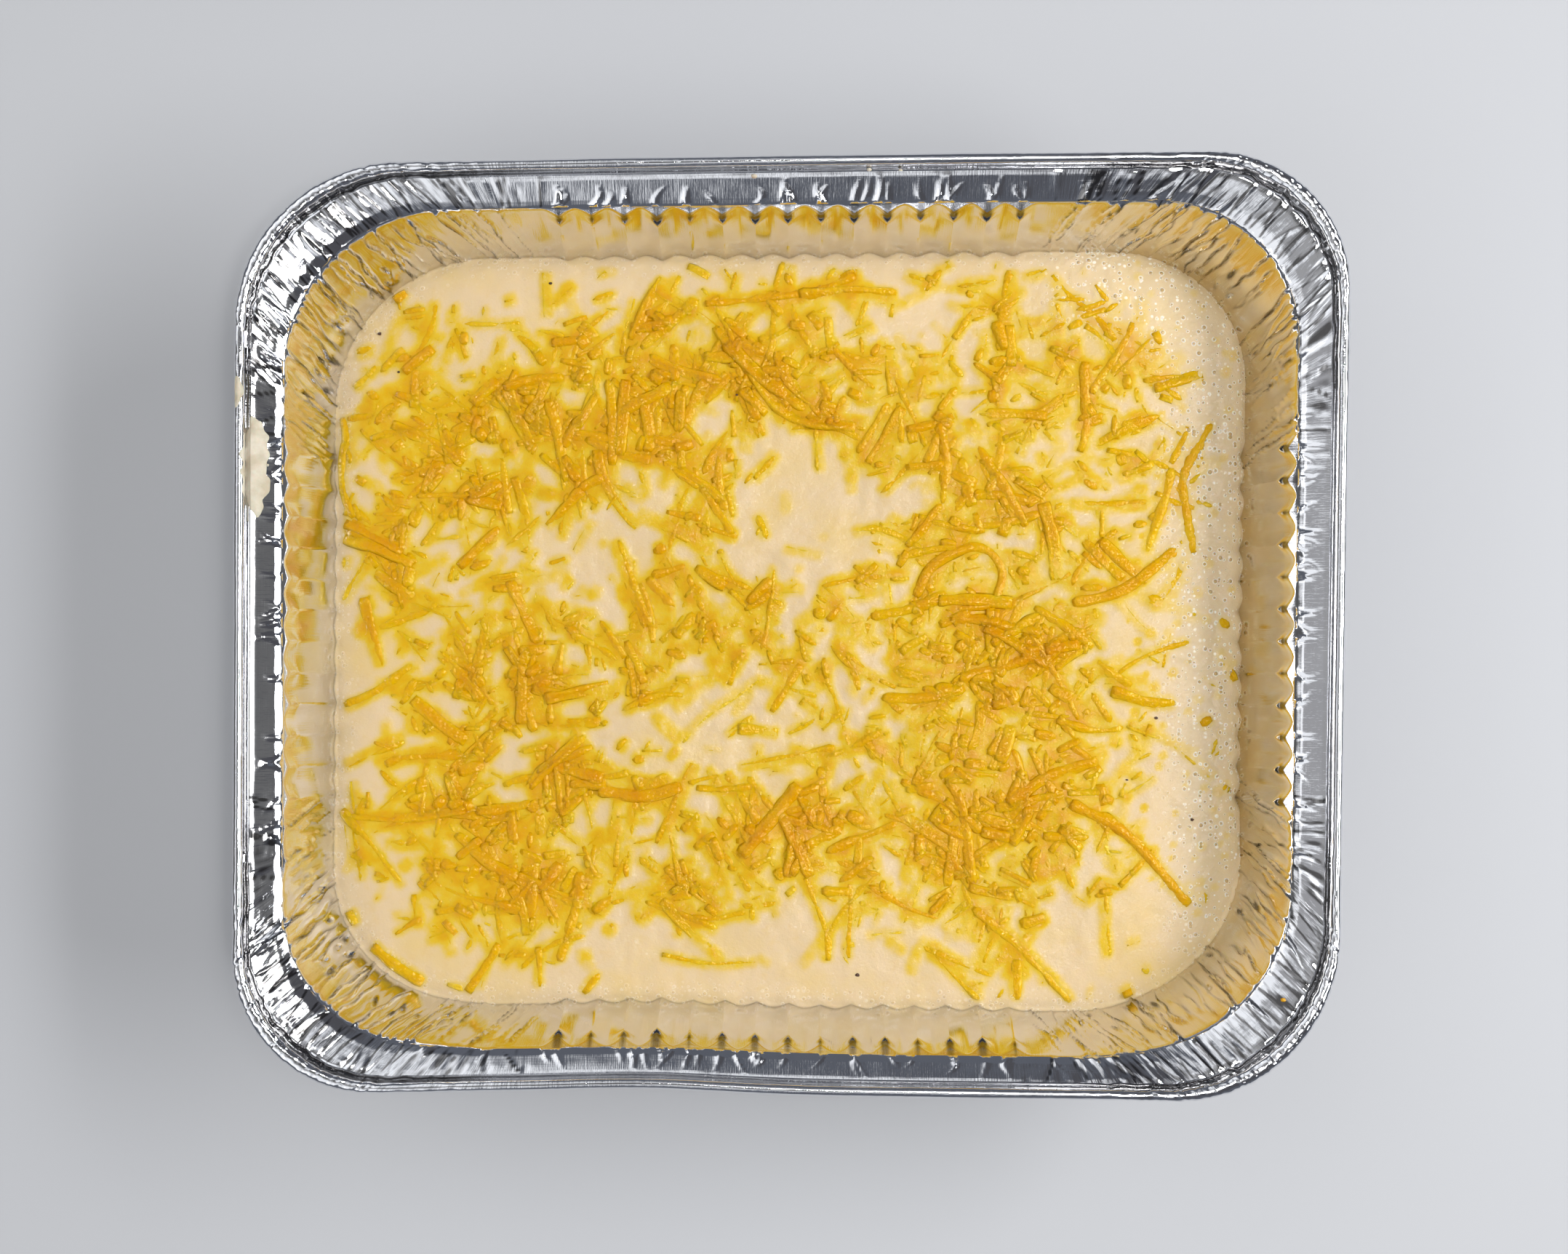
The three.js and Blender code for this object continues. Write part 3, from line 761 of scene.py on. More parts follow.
def smooth_line(corners, step):
    """Points at even steps on a curve through a few corners."""
    corners = np.array(corners, float)
    if len(corners) == 2:
        corners = np.array([corners[0], corners.mean(0), corners[1]])
    ends = np.concatenate([[2 * corners[0] - corners[1]], corners, [2 * corners[-1] - corners[-2]]])
    fine = []
    for i in range(1, len(ends) - 2):
        share = np.linspace(0, 1, 24, endpoint=i == len(ends) - 3)[:, None]
        a, b, c, d = ends[i - 1:i + 3]
        fine.append(0.5 * (2 * b + (c - a) * share + (2 * a - 5 * b + 4 * c - d) * share**2
                           + (3 * b - a - 3 * c + d) * share**3))
    fine = np.concatenate(fine)
    length = length_along(*fine.T)
    even = np.linspace(0, length[-1], max(4, int(round(length[-1] / step)) + 1))
    return np.stack([np.interp(even, length, fine[:, k]) for k in (0, 1)], -1)


def random_line(random, x, y, length):
    """A gently bent line of a given length about a middle point."""
    steps = max(3, int(round(length / RING_STEP)))
    reach = np.linspace(-0.5, 0.5, steps + 1) * length
    bend = random.normal(0, 0.016)
    twist = random.normal(0, 0.0011)
    heading = random.uniform(0, math.pi) + bend * reach + twist * reach**2
    step = length / steps
    line = np.stack([np.cumsum(np.cos(heading)), np.cumsum(np.sin(heading))], -1) * step
    return line - line.mean(0) + (x, y)


def scattered_lines(random, kind):
    """Lines, widths and sinks of the shreds of one kind, denser where the heaps are."""
    count, lengths, widths, strictness, sinks = kind
    lines = []
    while len(lines) < count:
        x = random.uniform(-0.5, 0.5) * TRAY_LENGTH
        y = random.uniform(-0.5, 0.5) * TRAY_WIDTH
        if distance_inside(x, y) < EDGE_MARGIN[0]:
            continue
        cover = cheese_cover(x, y)
        if random.random() > max(cover, 0.04) ** strictness:
            continue
        length = lerp(*lengths, random.random() ** 1.5)
        line = random_line(random, x, y, length)
        if distance_inside(*line.T).min() < EDGE_MARGIN[1]:
            continue
        lines.append((line, random.uniform(*widths), random.uniform(*sinks)))
    return lines


def across_of(line):
    """Unit vectors across a plan line."""
    ahead = np.gradient(line, axis=0)
    ahead /= np.maximum(np.hypot(*ahead.T)[:, None], 1e-9)
    return np.stack([-ahead[:, 1], ahead[:, 0]], -1)


def shred_profile(random, line, width, thick):
    """Width and thickness along a shred: uneven, and drawn in at its ends."""
    steps = np.arange(len(line))
    ends = np.minimum(steps, steps[::-1]) * RING_STEP
    phase = random.uniform(0, 50)
    uneven = noise(steps * RING_STEP / 4.5 + phase, phase)
    lumps = noise(steps * RING_STEP / 2.8, phase)
    tip = random.uniform(*TIP_WIDTHS)
    taper = tip + (1 - tip) * np.sqrt(np.clip(ends / TIP_LENGTH, 0, 1))
    return width * taper * (1 + 0.16 * uneven), thick * taper * (1 + 0.18 * lumps)


class Pile:
    """The cheese as it falls on the cream, shred by shred."""

    def __init__(self):
        self.grid_x, self.grid_y = np.meshgrid(GRID_X, GRID_Y)
        self.cream = cream_height(self.grid_x, self.grid_y)
        self.amount = np.zeros_like(self.cream)  # millimetres of cheese at each place
        self.top = self.cream.copy()
        self.shreds = []

    def stamp(self, line, across, widths, thicks):
        """The window of the grid under a shred, and the shred's thickness on it."""
        steps = np.arange(len(line))
        fine = np.linspace(0, len(line) - 1, 3 * (len(line) - 1) + 1)
        middle, side = ([np.interp(fine, steps, values[:, k]) for k in (0, 1)]
                        for values in (line, across))
        wide = np.interp(fine, steps, widths)[:, None] * LANES / 2
        tall = np.interp(fine, steps, thicks)[:, None] * (1 - np.abs(LANES) ** 3)
        x = middle[0][:, None] + side[0][:, None] * wide
        y = middle[1][:, None] + side[1][:, None] * wide
        j = np.clip(np.round((x - GRID_X[0]) / CELL).astype(int), 0, len(GRID_X) - 1)
        i = np.clip(np.round((y - GRID_Y[0]) / CELL).astype(int), 0, len(GRID_Y) - 1)
        window = (slice(i.min(), i.max() + 1), slice(j.min(), j.max() + 1))
        local = np.zeros((i.max() - i.min() + 1, j.max() - j.min() + 1))
        np.maximum.at(local, (i - i.min(), j - j.min()), tall)
        return window, local

    def drop(self, line, width, sink, random):
        """A shred lying on those below it, and partly sunk in them."""
        across = across_of(line)
        thick = width * random.uniform(0.27, 0.38)
        widths, thicks = shred_profile(random, line, width, thick)
        under = [sample(self.top, *(line + across * width * share).T) for share in PROBES]
        ground = sample(self.cream, *line.T)
        pile = lerp(np.mean(under, axis=0), np.max(under, axis=0), 0.55) - ground
        pile = PILE_LIMIT * (1 - np.exp(-pile / PILE_LIMIT))
        kernel = blur_kernel(STIFFNESS, RING_STEP, 4)
        pile = np.convolve(np.pad(pile, 4, mode="edge"), kernel, mode="valid")
        base = ground + np.maximum(pile, 0) - thick * sink
        window, local = self.stamp(line, across, widths, thicks)
        self.amount[window] += (1.15 - sink) * local
        ridge = [random.uniform(-1, 1), random.uniform(0.7, 1.6), random.uniform(0.1, 0.3)]
        strength = (1.25 - sink) * random.uniform(0.4, 1.0)
        self.shreds.append((line, across, base, widths, thicks, ridge, strength))
        tops = self.level(line, base, window) + local
        self.top[window] = np.where(local > 0, np.maximum(self.top[window], tops),
                                    self.top[window])

    def level(self, line, base, window):
        """Height of a shred's base over a window, from the nearest point of its line."""
        x, y = self.grid_x[window], self.grid_y[window]
        distance = (x[..., None] - line[:, 0]) ** 2 + (y[..., None] - line[:, 1]) ** 2
        return base[np.argmin(distance, axis=-1)]


def film_height(amount):
    """How far melted cheese stands over the cream."""
    return 0.62 * (1 - np.exp(-0.8 * amount))


def shred_section(ridge):
    """Width and height shares round a shred: a ridged top, steep flanks, a flat base."""
    phase, turns, depth = ridge
    x = np.linspace(-1, 1, TOP_POINTS)
    x = np.sign(x) * np.abs(x) ** 0.85
    y = (1 - np.abs(x) ** 2.4) ** 0.75
    y = y * (1 + depth * np.cos(math.pi * turns * (x + phase)) - depth)
    base_x = np.array([0.7, -0.7])
    return np.concatenate([x, base_x]), np.concatenate([y, np.full(BASE_POINTS, -0.25)])


def shred_mesh(name, shreds, pile, material):
    """Joins swept shreds into one piece, with their colour and their painted shade between shreds as
    attributes.
    """
    points, faces, lanes, thickness = [], [], [], []
    first = 0
    for line, across, base, widths, thicks, ridge, strength in shreds:
        xs, ys = shred_section(ridge)
        rings = line[:, None, :] + across[:, None, :] * (xs[None] * widths[:, None] / 2)[..., None]
        heights = base[:, None] + ys[None] * thicks[:, None]
        ring_points = np.concatenate([rings, heights[..., None]], -1)
        ends = ring_points[[0, -1]].mean(1)
        count = len(line)
        block = np.concatenate([ring_points.reshape(-1, 3), ends])
        points.append(block)
        faces += grid_faces(count, SECTION_POINTS, first=first)
        tip = first + count * SECTION_POINTS
        last = first + (count - 1) * SECTION_POINTS
        for k in range(SECTION_POINTS):
            after = (k + 1) % SECTION_POINTS
            faces.append([first + after, first + k, tip])
            faces.append([last + k, last + after, tip + 1])
        lane = np.tile(xs, count)
        run = np.repeat(np.arange(count) * RING_STEP, SECTION_POINTS) + first * 0.37
        lane_block = np.stack([lane, run, np.zeros_like(run)], -1)
        lanes.append(np.concatenate([lane_block, [[0, 0, 0], [0, 0, 0]]]))
        thickness.append(np.full(len(block), strength))
        first += len(block)
    points = np.concatenate(points)
    lanes = np.concatenate(lanes)
    x, y = points[:, 0], points[:, 1]
    amount = np.concatenate(thickness) + 0.55 * sample(pile.deep, x, y)
    # how far below the smoothed top of the pile a point lies, which drives painted shade between the
    # shreds
    crease = sample(pile.smooth_top, x, y) - points[:, 2]
    x, y = hand_formed(x, y)
    points = np.stack([x, y, points[:, 2]], -1)
    return mesh_object(name, points, faces, material, amount=amount, crease=crease, lane=lanes)


def make_pile():
    """Drops all the shreds, and works out how the cheese has melted into the cream."""
    random = np.random.default_rng(SEED + 7)
    pile = Pile()
    for kinds in ((SUNK_LONG, SUNK_SHORT), (LONG_SHREDS, SHORT_SHREDS, STRAY_BITS)):
        lines = [entry for kind in kinds for entry in scattered_lines(random, kind)]
        for index in random.permutation(len(lines)):
            pile.drop(*lines[index], random)
    for corners in LANDMARKS:
        line = smooth_line(corners, RING_STEP)
        line = line[distance_inside(*line.T) > EDGE_MARGIN[2]]
        pile.drop(line, random.uniform(*LANDMARK_WIDTHS), random.uniform(*LANDMARK_SINK), random)
    pile.deep = blur(pile.amount, 1.6)
    pile.smooth_top = pile.cream + blur(pile.top - pile.cream, 1.0)
    near = blur(pile.amount, 0.45)
    pile.film = film_height(near)
    wide = blur(pile.amount, 2.6)
    pile.tint = 0.45 * near + 0.3 * wide * smoothstep(0.15, 1.2, wide) + fat_drops(random, pile)
    return pile


FAT_DROPS = 110


def fat_drops(random, pile):
    """Small round yellow drops between the bubbles of the froth."""
    drops = np.zeros_like(pile.cream)
    for _ in range(FAT_DROPS):
        x, y = random.uniform((100, -90), (136, 110))
        if distance_inside(x, y) < EDGE_MARGIN[0]:
            continue
        size = random.uniform(0.5, 1.5)
        distance = np.hypot(pile.grid_x - x, pile.grid_y - y) / size
        drops = np.maximum(drops, random.uniform(0.25, 0.6) * np.exp(-distance**4))
    return drops


# ---------------------------------------------------------------- cream

CREAM_CELLS = (314, 256)
CREAM_REACH = 115  # millimetres from the middle of the cream to its edge, about
GRID_SHARE = 1 - 5.0 / CREAM_REACH  # the even grid ends here, and rings follow the edge beyond it
EDGE_SHARES = 1 - np.array([4.2, 3.4, 2.7, 2.0, 1.45, 1.0, 0.65, 0.35, 0.14, 0]) / CREAM_REACH
CREAM_WALL_RINGS = (22.0, WALL_FOOT[1])  # heights of the cream's rings under its surface
CREAM_BASE = FOIL + 0.4
CREAM_CLEARANCE = 0.4  # and how far inside the foil they are


def drawn_back():
    """Where the filling has drawn back from the wall: on the right, and a little at the top."""
    right = smoothstep(60, 132, EDGE_X) * smoothstep(-100, -60, EDGE_Y)
    return np.maximum(right, 0.35 * smoothstep(60, 100, EDGE_Y))


def cream_gap():
    """Distance of the filling's edge from the wall."""
    return 0.05 + 0.6 * drawn_back() ** 2 * (0.8 + 0.35 * edge_noise(9, 5))


def filling_edge():
    """x and y of the filling's edge at every station, before the tray is bent."""
    inset, fold_depth = wall_section(FILL_EDGE_Z)
    return true_plan(inset + fold_depth * FOLDS + cream_gap())


EDGE_PLAN = filling_edge()


def at_turn(values, turn):
    """Values of the stations at turns round the tray, a whole number at each side's middle."""
    middles = [CORNER_MIDDLES[3] - LAP_LENGTH] + CORNER_MIDDLES
    lap = np.interp(turn, np.arange(5) - 0.5, middles) % LAP_LENGTH
    laps = np.concatenate([LAP, [LAP_LENGTH]])
    return np.interp(lap, laps, np.concatenate([values, values[:1]]))


def cream_turns():
    """Share of the way to the edge, and turn, of each point of the cream's even grid."""
    across, up = CREAM_CELLS
    u, v = np.meshgrid(np.linspace(-1, 1, across + 1), np.linspace(-1, 1, up + 1))
    share = np.maximum(np.abs(u), np.abs(v))
    whole = np.maximum(share, 1e-9)
    on_x_side = np.abs(u) >= np.abs(v)
    turn = np.where(on_x_side, np.where(u > 0, v / whole / 2, 2 - v / whole / 2),
                    np.where(v > 0, 1 - u / whole / 2, 3 + u / whole / 2))
    return share, turn


def grid_rim():
    """Indices of the even grid's outer points, counter-clockwise from the lower right."""
    across, up = CREAM_CELLS
    width = across + 1
    right = [row * width + across for row in range(up)]
    top = [up * width + column for column in range(across, 0, -1)]
    left = [row * width for row in range(up, 0, -1)]
    bottom = list(range(across))
    return np.array(right + top + left + bottom)


def cream_top(pile, x, y, edge_drop):
    """Surface points of the cream and the values that colour it."""
    froth = froth_at(x, y)
    z = cream_height(x, y) + sample(pile.film, x, y) - edge_drop
    z = z + froth * 0.26 * noise(x / 1.2, y / 1.2, 8)
    z = z + 0.05 * noise(x / 1.1, y / 1.1, 15)
    points = np.stack([*hand_formed(x, y), z], -1)
    return points, sample(pile.tint, x, y), froth


def cream(pile, material):
    """The creamy bake, from its uneven surface down to the floor of the tray."""
    share, turn = cream_turns()
    rim = grid_rim()
    rim_turn = turn.ravel()[rim]
    share, turn = share.ravel() * GRID_SHARE, turn.ravel()
    inner_x, inner_y = (at_turn(values, turn) * share for values in EDGE_PLAN)
    inner = cream_top(pile, inner_x, inner_y, 0)
    shares = EDGE_SHARES[:, None]
    outer_x, outer_y = (at_turn(values, rim_turn) * shares for values in EDGE_PLAN)
    rounding = at_turn(drawn_back(), rim_turn)
    from_edge = (1 - shares) * CREAM_REACH
    edge_drop = (0.7 + 2.0 * rounding) * np.exp(-from_edge / (0.4 + 0.8 * rounding))
    outer = cream_top(pile, outer_x, outer_y, edge_drop)

    low = []
    for height in CREAM_WALL_RINGS:
        inset, fold_depth = wall_section(height)
        low.append((inset + fold_depth * FOLDS, height))
    low += [(FOOT_CURVE[0], FOOT_CURVE[1] + 0.3), (FLOOR_INSET, CREAM_BASE)]
    low = [np.stack([*(at_turn(values, rim_turn) for values in plan(inset + CREAM_CLEARANCE)),
                     np.full(len(rim), height)], -1) for inset, height in low]
    points = np.concatenate([inner[0], outer[0].reshape(-1, 3), *low, [[0, 0, CREAM_BASE]]])
    rings = len(EDGE_SHARES) + len(low)

    across, up = CREAM_CELLS
    faces = grid_faces(up + 1, across + 1, wrap_columns=False)
    ring_of = [rim] + [len(inner[0]) + k * len(rim) + np.arange(len(rim)) for k in range(rings)]
    for near, far in zip(ring_of, ring_of[1:]):
        band = np.stack([near, far, np.roll(far, -1), np.roll(near, -1)], -1)
        faces += band.tolist()
    last = ring_of[-1]
    middle = len(points) - 1
    faces += np.stack([last, np.full(len(last), middle), np.roll(last, -1)], -1).tolist()

    def spread(of_inner, of_outer):
        below = np.zeros(len(low) * len(rim) + 1)
        return np.concatenate([of_inner, of_outer.ravel(), below])

    return mesh_object("cream", points, faces, material, amount=spread(inner[1], outer[1]),
                       froth=spread(inner[2], outer[2]))


def froth_at(x, y):
    """Where the surface is frothy: the right edge and the top right corner."""
    inside = distance_inside(x, y)
    right = smoothstep(64, 104, x) * smoothstep(-60, 10, y) * (1 - smoothstep(12, 32, inside))
    right = np.maximum(right, smoothstep(108, 124, x) * smoothstep(-105, -80, y))
    rim = 0.25 * (1 - smoothstep(2, 9, inside))
    return np.clip(right + rim, 0, 1)


# ---------------------------------------------------------------- crumbs and smears

# Dark crumbs on the cream: x, y, width
SPECKS = (
    (110.2, -27.4, 1.2), (101.4, -45.9, 0.9), (120.7, -57.7, 1.0), (20.6, -104.3, 1.3),
    (-15.6, 69.8, 0.8), (-72.0, 103.8, 1.0), (-124.0, 88.8, 1.3), (-117.9, 77.0, 0.9),
)
# Crumbs of cream on the rim: x, y, width
RIM_CRUMBS = ((-9.4, 129.6, 1.9), (23.5, 132.0, 1.4), (32.5, 131.5, 1.1), (-152.4, 50.6, 1.3),
              (-151.0, 46.5, 1.0))
FAT_ON_RIM = ((142.0, -107.5, 1.7),)
# Cream that ran over the rim: middle x and y, reach along x and y, height
SMEARS = ((-154.2, 47.0, 3.6, 13.5, 0.5), (-159.6, 67.3, 1.9, 4.6, 0.5))
SMEAR_FINER = 2  # times the rim's own rows and columns
SMEAR_SHEET = 1.3  # reach of the sheet that a smear is shaped from, in its own reaches
LUMP_RINGS = 5
LUMP_SIDES = 10


def lump(random, middle, width, height):
    """A small uneven ball, flattened on what it lies on."""
    ups = np.linspace(-0.5, 0.5, LUMP_RINGS + 2)[1:-1] * math.pi
    up, turn = np.meshgrid(ups, np.arange(LUMP_SIDES) * 2 * math.pi / LUMP_SIDES, indexing="ij")
    ball = np.stack([np.cos(up) * np.cos(turn), np.cos(up) * np.sin(turn), np.sin(up)], -1)
    ball = np.concatenate([ball.reshape(-1, 3), [[0, 0, -1], [0, 0, 1]]])
    ball *= 1 + 0.28 * noise(ball[:, 0] * 1.6 + random.uniform(0, 50), ball[:, 1] * 1.6,
                             ball[:, 2] * 1.6)[:, None]
    ball *= (width / 2, width / 2 * random.uniform(0.6, 1.0), height)
    faces = grid_faces(LUMP_RINGS, LUMP_SIDES)
    pole = LUMP_RINGS * LUMP_SIDES
    top = pole - LUMP_SIDES
    for k in range(LUMP_SIDES):
        after = (k + 1) % LUMP_SIDES
        faces.append([after, k, pole])
        faces.append([top + k, top + after, pole + 1])
    return ball + middle, faces


def lumps_mesh(name, spots, material):
    points, faces = [], []
    random = np.random.default_rng(SEED + 11)
    for middle, width, height in spots:
        block, block_faces = lump(random, middle, width, height)
        first = len(block) * len(points)
        faces += [[index + first for index in face] for face in block_faces]
        points.append(block)
    return mesh_object(name, np.concatenate(points), faces, material)


def on_foil(front, x, y):
    """The point of the rim's sheet that lies under a place."""
    distance = np.hypot(front[..., 0] - x, front[..., 1] - y)
    return front[np.unravel_index(np.argmin(distance), distance.shape)]


def finer(grid, times):
    """A part of a grid with more points both ways."""
    for axis in (0, 1):
        size = grid.shape[axis]
        fine = np.linspace(0, size - 1, (size - 1) * times + 1)
        low = np.minimum(fine.astype(int), size - 2)
        share = np.expand_dims(fine - low, (1 - axis, 2))
        grid = np.take(grid, low, axis) * (1 - share) + np.take(grid, low + 1, axis) * share
    return grid


def smear(name, front, spot, material):
    """A thin skin of dried cream that follows the rim under it."""
    x, y, reach_x, reach_y, height = spot
    far_x, far_y = np.abs(front[..., 0] - x) / reach_x, np.abs(front[..., 1] - y) / reach_y
    inside = (far_x < SMEAR_SHEET) & (far_y < SMEAR_SHEET)
    rows, columns = np.flatnonzero(inside.any(1)), np.flatnonzero(inside.any(0))
    rows = rows[rows < len(front) - 7]
    sheet = finer(front[rows[0]:rows[-1] + 1, columns[0]:columns[-1] + 1], SMEAR_FINER)
    normals = np.cross(np.gradient(sheet, axis=0), np.gradient(sheet, axis=1))
    normals /= np.maximum(np.linalg.norm(normals, axis=2, keepdims=True), 1e-9)
    far = np.hypot((sheet[..., 0] - x) / reach_x, (sheet[..., 1] - y) / reach_y)
    far = far + 0.22 * noise(sheet[..., 0] / 2.6, sheet[..., 1] / 2.6, 51)
    lumpy = 1 + 0.4 * noise(sheet[..., 0] / 1.7, sheet[..., 1] / 1.7, 53)
    thick = height * lumpy * np.clip(1 - far**4, -1, 1)
    top = sheet + (0, 0, 1) * np.maximum(thick, -0.12)[..., None]
    reach = int(1.5 / RIM_STEP * SMEAR_FINER)
    padded = np.pad(sheet[..., 2], ((reach, reach), (0, 0)), mode="edge")
    level = np.mean([padded[k:k + len(sheet)] for k in range(2 * reach + 1)], axis=0)
    top[..., 2] += np.maximum(level - sheet[..., 2], 0) * smoothstep(0, 0.2, thick)
    under = sheet - normals * 0.16
    points = np.concatenate([top.reshape(-1, 3), under.reshape(-1, 3)])
    rows, columns = sheet.shape[:2]
    quads = np.array(grid_faces(rows, columns, wrap_columns=False))[:, [0, 3, 2, 1]]
    shift = rows * columns
    faces = quads.tolist() + (quads[:, ::-1] + shift).tolist()
    index = np.arange(shift).reshape(rows, columns)
    edges = ((index[0], False), (index[-1], True), (index[:, 0], True), (index[:, -1], False))
    for edge, turned in edges:
        band = np.stack([edge[:-1], edge[1:], edge[1:] + shift, edge[:-1] + shift], -1)
        faces += (band[:, ::-1] if turned else band).tolist()
    return mesh_object(name, points, faces, material)


# ---------------------------------------------------------------- shader nodes

def linear(colour):
    """A colour given in sRGB of 0 to 255, as shaders take it."""
    def channel(value):
        value = value / 255
        return value / 12.92 if value <= 0.04045 else ((value + 0.055) / 1.055) ** 2.4
    return tuple(channel(value) for value in colour) + (1.0,)


class Nodes:
    """Adds nodes to a material's or the world's tree. Every value is a constant or an output."""

    def __init__(self, owner):
        owner.use_nodes = True
        self.tree = owner.node_tree

    def feed(self, target, inputs):
        """Gives a node its inputs."""
        for key, value in inputs.items():
            if isinstance(value, bpy.types.NodeSocket):
                self.tree.links.new(value, target.inputs[key])
            else:
                target.inputs[key].default_value = value

    def add(self, kind, inputs, **settings):
        made = self.tree.nodes.new(kind)
        for key, value in settings.items():
            setattr(made, key, value)
        self.feed(made, inputs)
        return made.outputs

    def place(self, space="Object"):
        return self.add("ShaderNodeTexCoord", {})[space]

    def attribute(self, name, output="Fac"):
        return self.add("ShaderNodeAttribute", {}, attribute_name=name)[output]

    def noise(self, vector, scale, detail=3.0, roughness=0.5):
        inputs = {"Vector": vector, "Scale": scale, "Detail": detail, "Roughness": roughness}
        return self.add("ShaderNodeTexNoise", inputs)["Fac"]

    def scaled(self, vector, scale):
        return self.add("ShaderNodeMapping", {"Vector": vector, "Scale": scale})["Vector"]

    def axes(self, vector):
        return self.add("ShaderNodeSeparateXYZ", {"Vector": vector})

    def ramp(self, value, stops):
        """A colour ramp. Each stop has a place and a grey, or a colour in sRGB."""
        made = self.tree.nodes.new("ShaderNodeValToRGB")
        self.feed(made, {"Fac": value})
        elements = made.color_ramp.elements
        while len(elements) < len(stops):
            elements.new(0.5)
        for element, (place, colour) in zip(elements, stops):
            element.position = place
            element.color = linear(colour) if isinstance(colour, tuple) else (colour,) * 3 + (1,)
        return made.outputs["Color"]

    def mix(self, factor, a, b, blend="MIX"):
        inputs = {0: factor, 6: a, 7: b}
        return self.add("ShaderNodeMix", inputs, data_type="RGBA", blend_type=blend)[2]

    def math(self, operation, a, b=0.0, clamp=False):
        return self.add("ShaderNodeMath", {0: a, 1: b}, operation=operation, use_clamp=clamp)[0]

    def times(self, a, b):
        return self.math("MULTIPLY", a, b)

    def remap(self, value, low, high, to_low=0.0, to_high=1.0):
        inputs = {"Value": value, "From Min": low, "From Max": high, "To Min": to_low,
                  "To Max": to_high}
        return self.add("ShaderNodeMapRange", inputs)["Result"]

    def bump(self, height, strength, distance, normal=None):
        inputs = {"Height": height, "Strength": strength, "Distance": distance}
        if normal is not None:
            inputs["Normal"] = normal
        return self.add("ShaderNodeBump", inputs)["Normal"]


def new_material(name, **constants):
    """A material, what adds nodes to it, and its shader with some constant inputs."""
    material = bpy.data.materials.new(name)
    nodes = Nodes(material)
    shader = nodes.tree.nodes["Principled BSDF"]
    nodes.feed(shader, {key.replace("_", " "): value for key, value in constants.items()})
    return material, nodes, shader


# ---------------------------------------------------------------- materials

def foil_material():
    """Rolled aluminium foil: a mirror with fine rolling lines and slight cloudiness, painted shade in
    its creases, and a grease film on the wall with painted shade and a painted warm reflection in it.
    """
    material, nodes, shader = new_material("foil", Metallic=1.0)
    flow = nodes.attribute("flow", "Vector")
    place = nodes.place()
    cloud = nodes.noise(place, 90)
    streaks = nodes.noise(nodes.scaled(flow, (2.0, 0.12, 0)), 1.0, 3, 0.6)
    lines = nodes.noise(nodes.scaled(flow, (0.05, 2.2, 0)), 1.0, 2)
    crinkle = nodes.noise(place, 520, 2)
    # the grease film on the wall: it dulls the foil, and carries painted shade and a painted warm
    # reflection of the food
    film = nodes.axes(flow)["Z"]

    colour = nodes.mix(cloud, linear((214, 215, 219)), linear((236, 237, 240)))
    # painted shade: creases, dents, wrinkles, the groove and the fold crests are darkened towards dark
    # brown
    shade = nodes.remap(nodes.attribute("shade"), 0.05, 0.6)
    colour = nodes.mix(nodes.times(shade, 0.8), colour, linear((70, 66, 62)))
    # painted shade and painted warm reflection of the food, multiplied in where the grease film lies
    grease_shade_tint = nodes.mix(1.0, colour, (0.95, 0.77, 0.4, 1), "MULTIPLY")
    rough = nodes.math("ADD", nodes.remap(cloud, 0.3, 0.7, 0.035, 0.06),
                       nodes.remap(streaks, 0.45, 0.75, 0.0, 0.03))
    rough = nodes.math("ADD", rough, nodes.remap(film, 0.0, 0.25, 0.0, 0.1))
    normal = nodes.bump(streaks, 0.25, 0.00022)
    normal = nodes.bump(lines, 0.12, 0.0001, normal)
    normal = nodes.bump(crinkle, 0.12, 0.0001, normal)
    nodes.feed(shader, {"Base Color": nodes.mix(film, colour, grease_shade_tint), "Roughness": rough,
                        "Normal": normal})
    return material


CHEESE_MELT = 3.0  # millimetres of cheese at the ramp's end
# Colour by millimetres of cheese, in sRGB: bare cream, a melted film, shreds, deep heaps
CHEESE_COLOURS = (
    (0.0, (211, 186, 146)), (0.04, (212, 181, 101)), (0.1, (211, 175, 38)),
    (0.2, (209, 163, 4)), (0.4, (206, 149, 0)), (0.8, (200, 133, 0)),
)


def cheese_colour(nodes, amount):
    return nodes.ramp(nodes.math("DIVIDE", amount, CHEESE_MELT), CHEESE_COLOURS)


def wet_film(nodes, place, normal, size):
    """A thin wet film: smooth swellings a few millimetres wide that catch the lights."""
    normal = nodes.bump(nodes.noise(place, 380, 1), size, 0.0008, normal)
    return nodes.bump(nodes.noise(place, 950, 1), size, 0.0006, normal)


def bubbles(nodes, place, froth):
    """Bubbles of many sizes where there is froth: their heights, their darker insides and their pale
    rims, the insides partly painted shade and the rims partly painted highlight.
    """
    cells = nodes.add("ShaderNodeTexVoronoi", {"Vector": place, "Scale": 640.0})
    pick = nodes.add("ShaderNodeSeparateColor", {"Color": cells["Color"]})["Red"]
    radius = nodes.remap(nodes.math("POWER", pick, 2.5), 0, 1, 0.12, 0.46)
    share = nodes.math("DIVIDE", cells["Distance"], radius)
    dome = nodes.math("SUBTRACT", 1.0, nodes.math("POWER", share, 2.0), clamp=True)
    dome = nodes.times(nodes.math("POWER", dome, 0.5), radius)
    inside = nodes.remap(share, 0.6, 0.85, 1, 0)
    rim = nodes.times(nodes.remap(share, 0.75, 0.95), nodes.remap(share, 1.1, 1.5, 1, 0))
    return [nodes.times(part, froth) for part in (dome, inside, rim)]


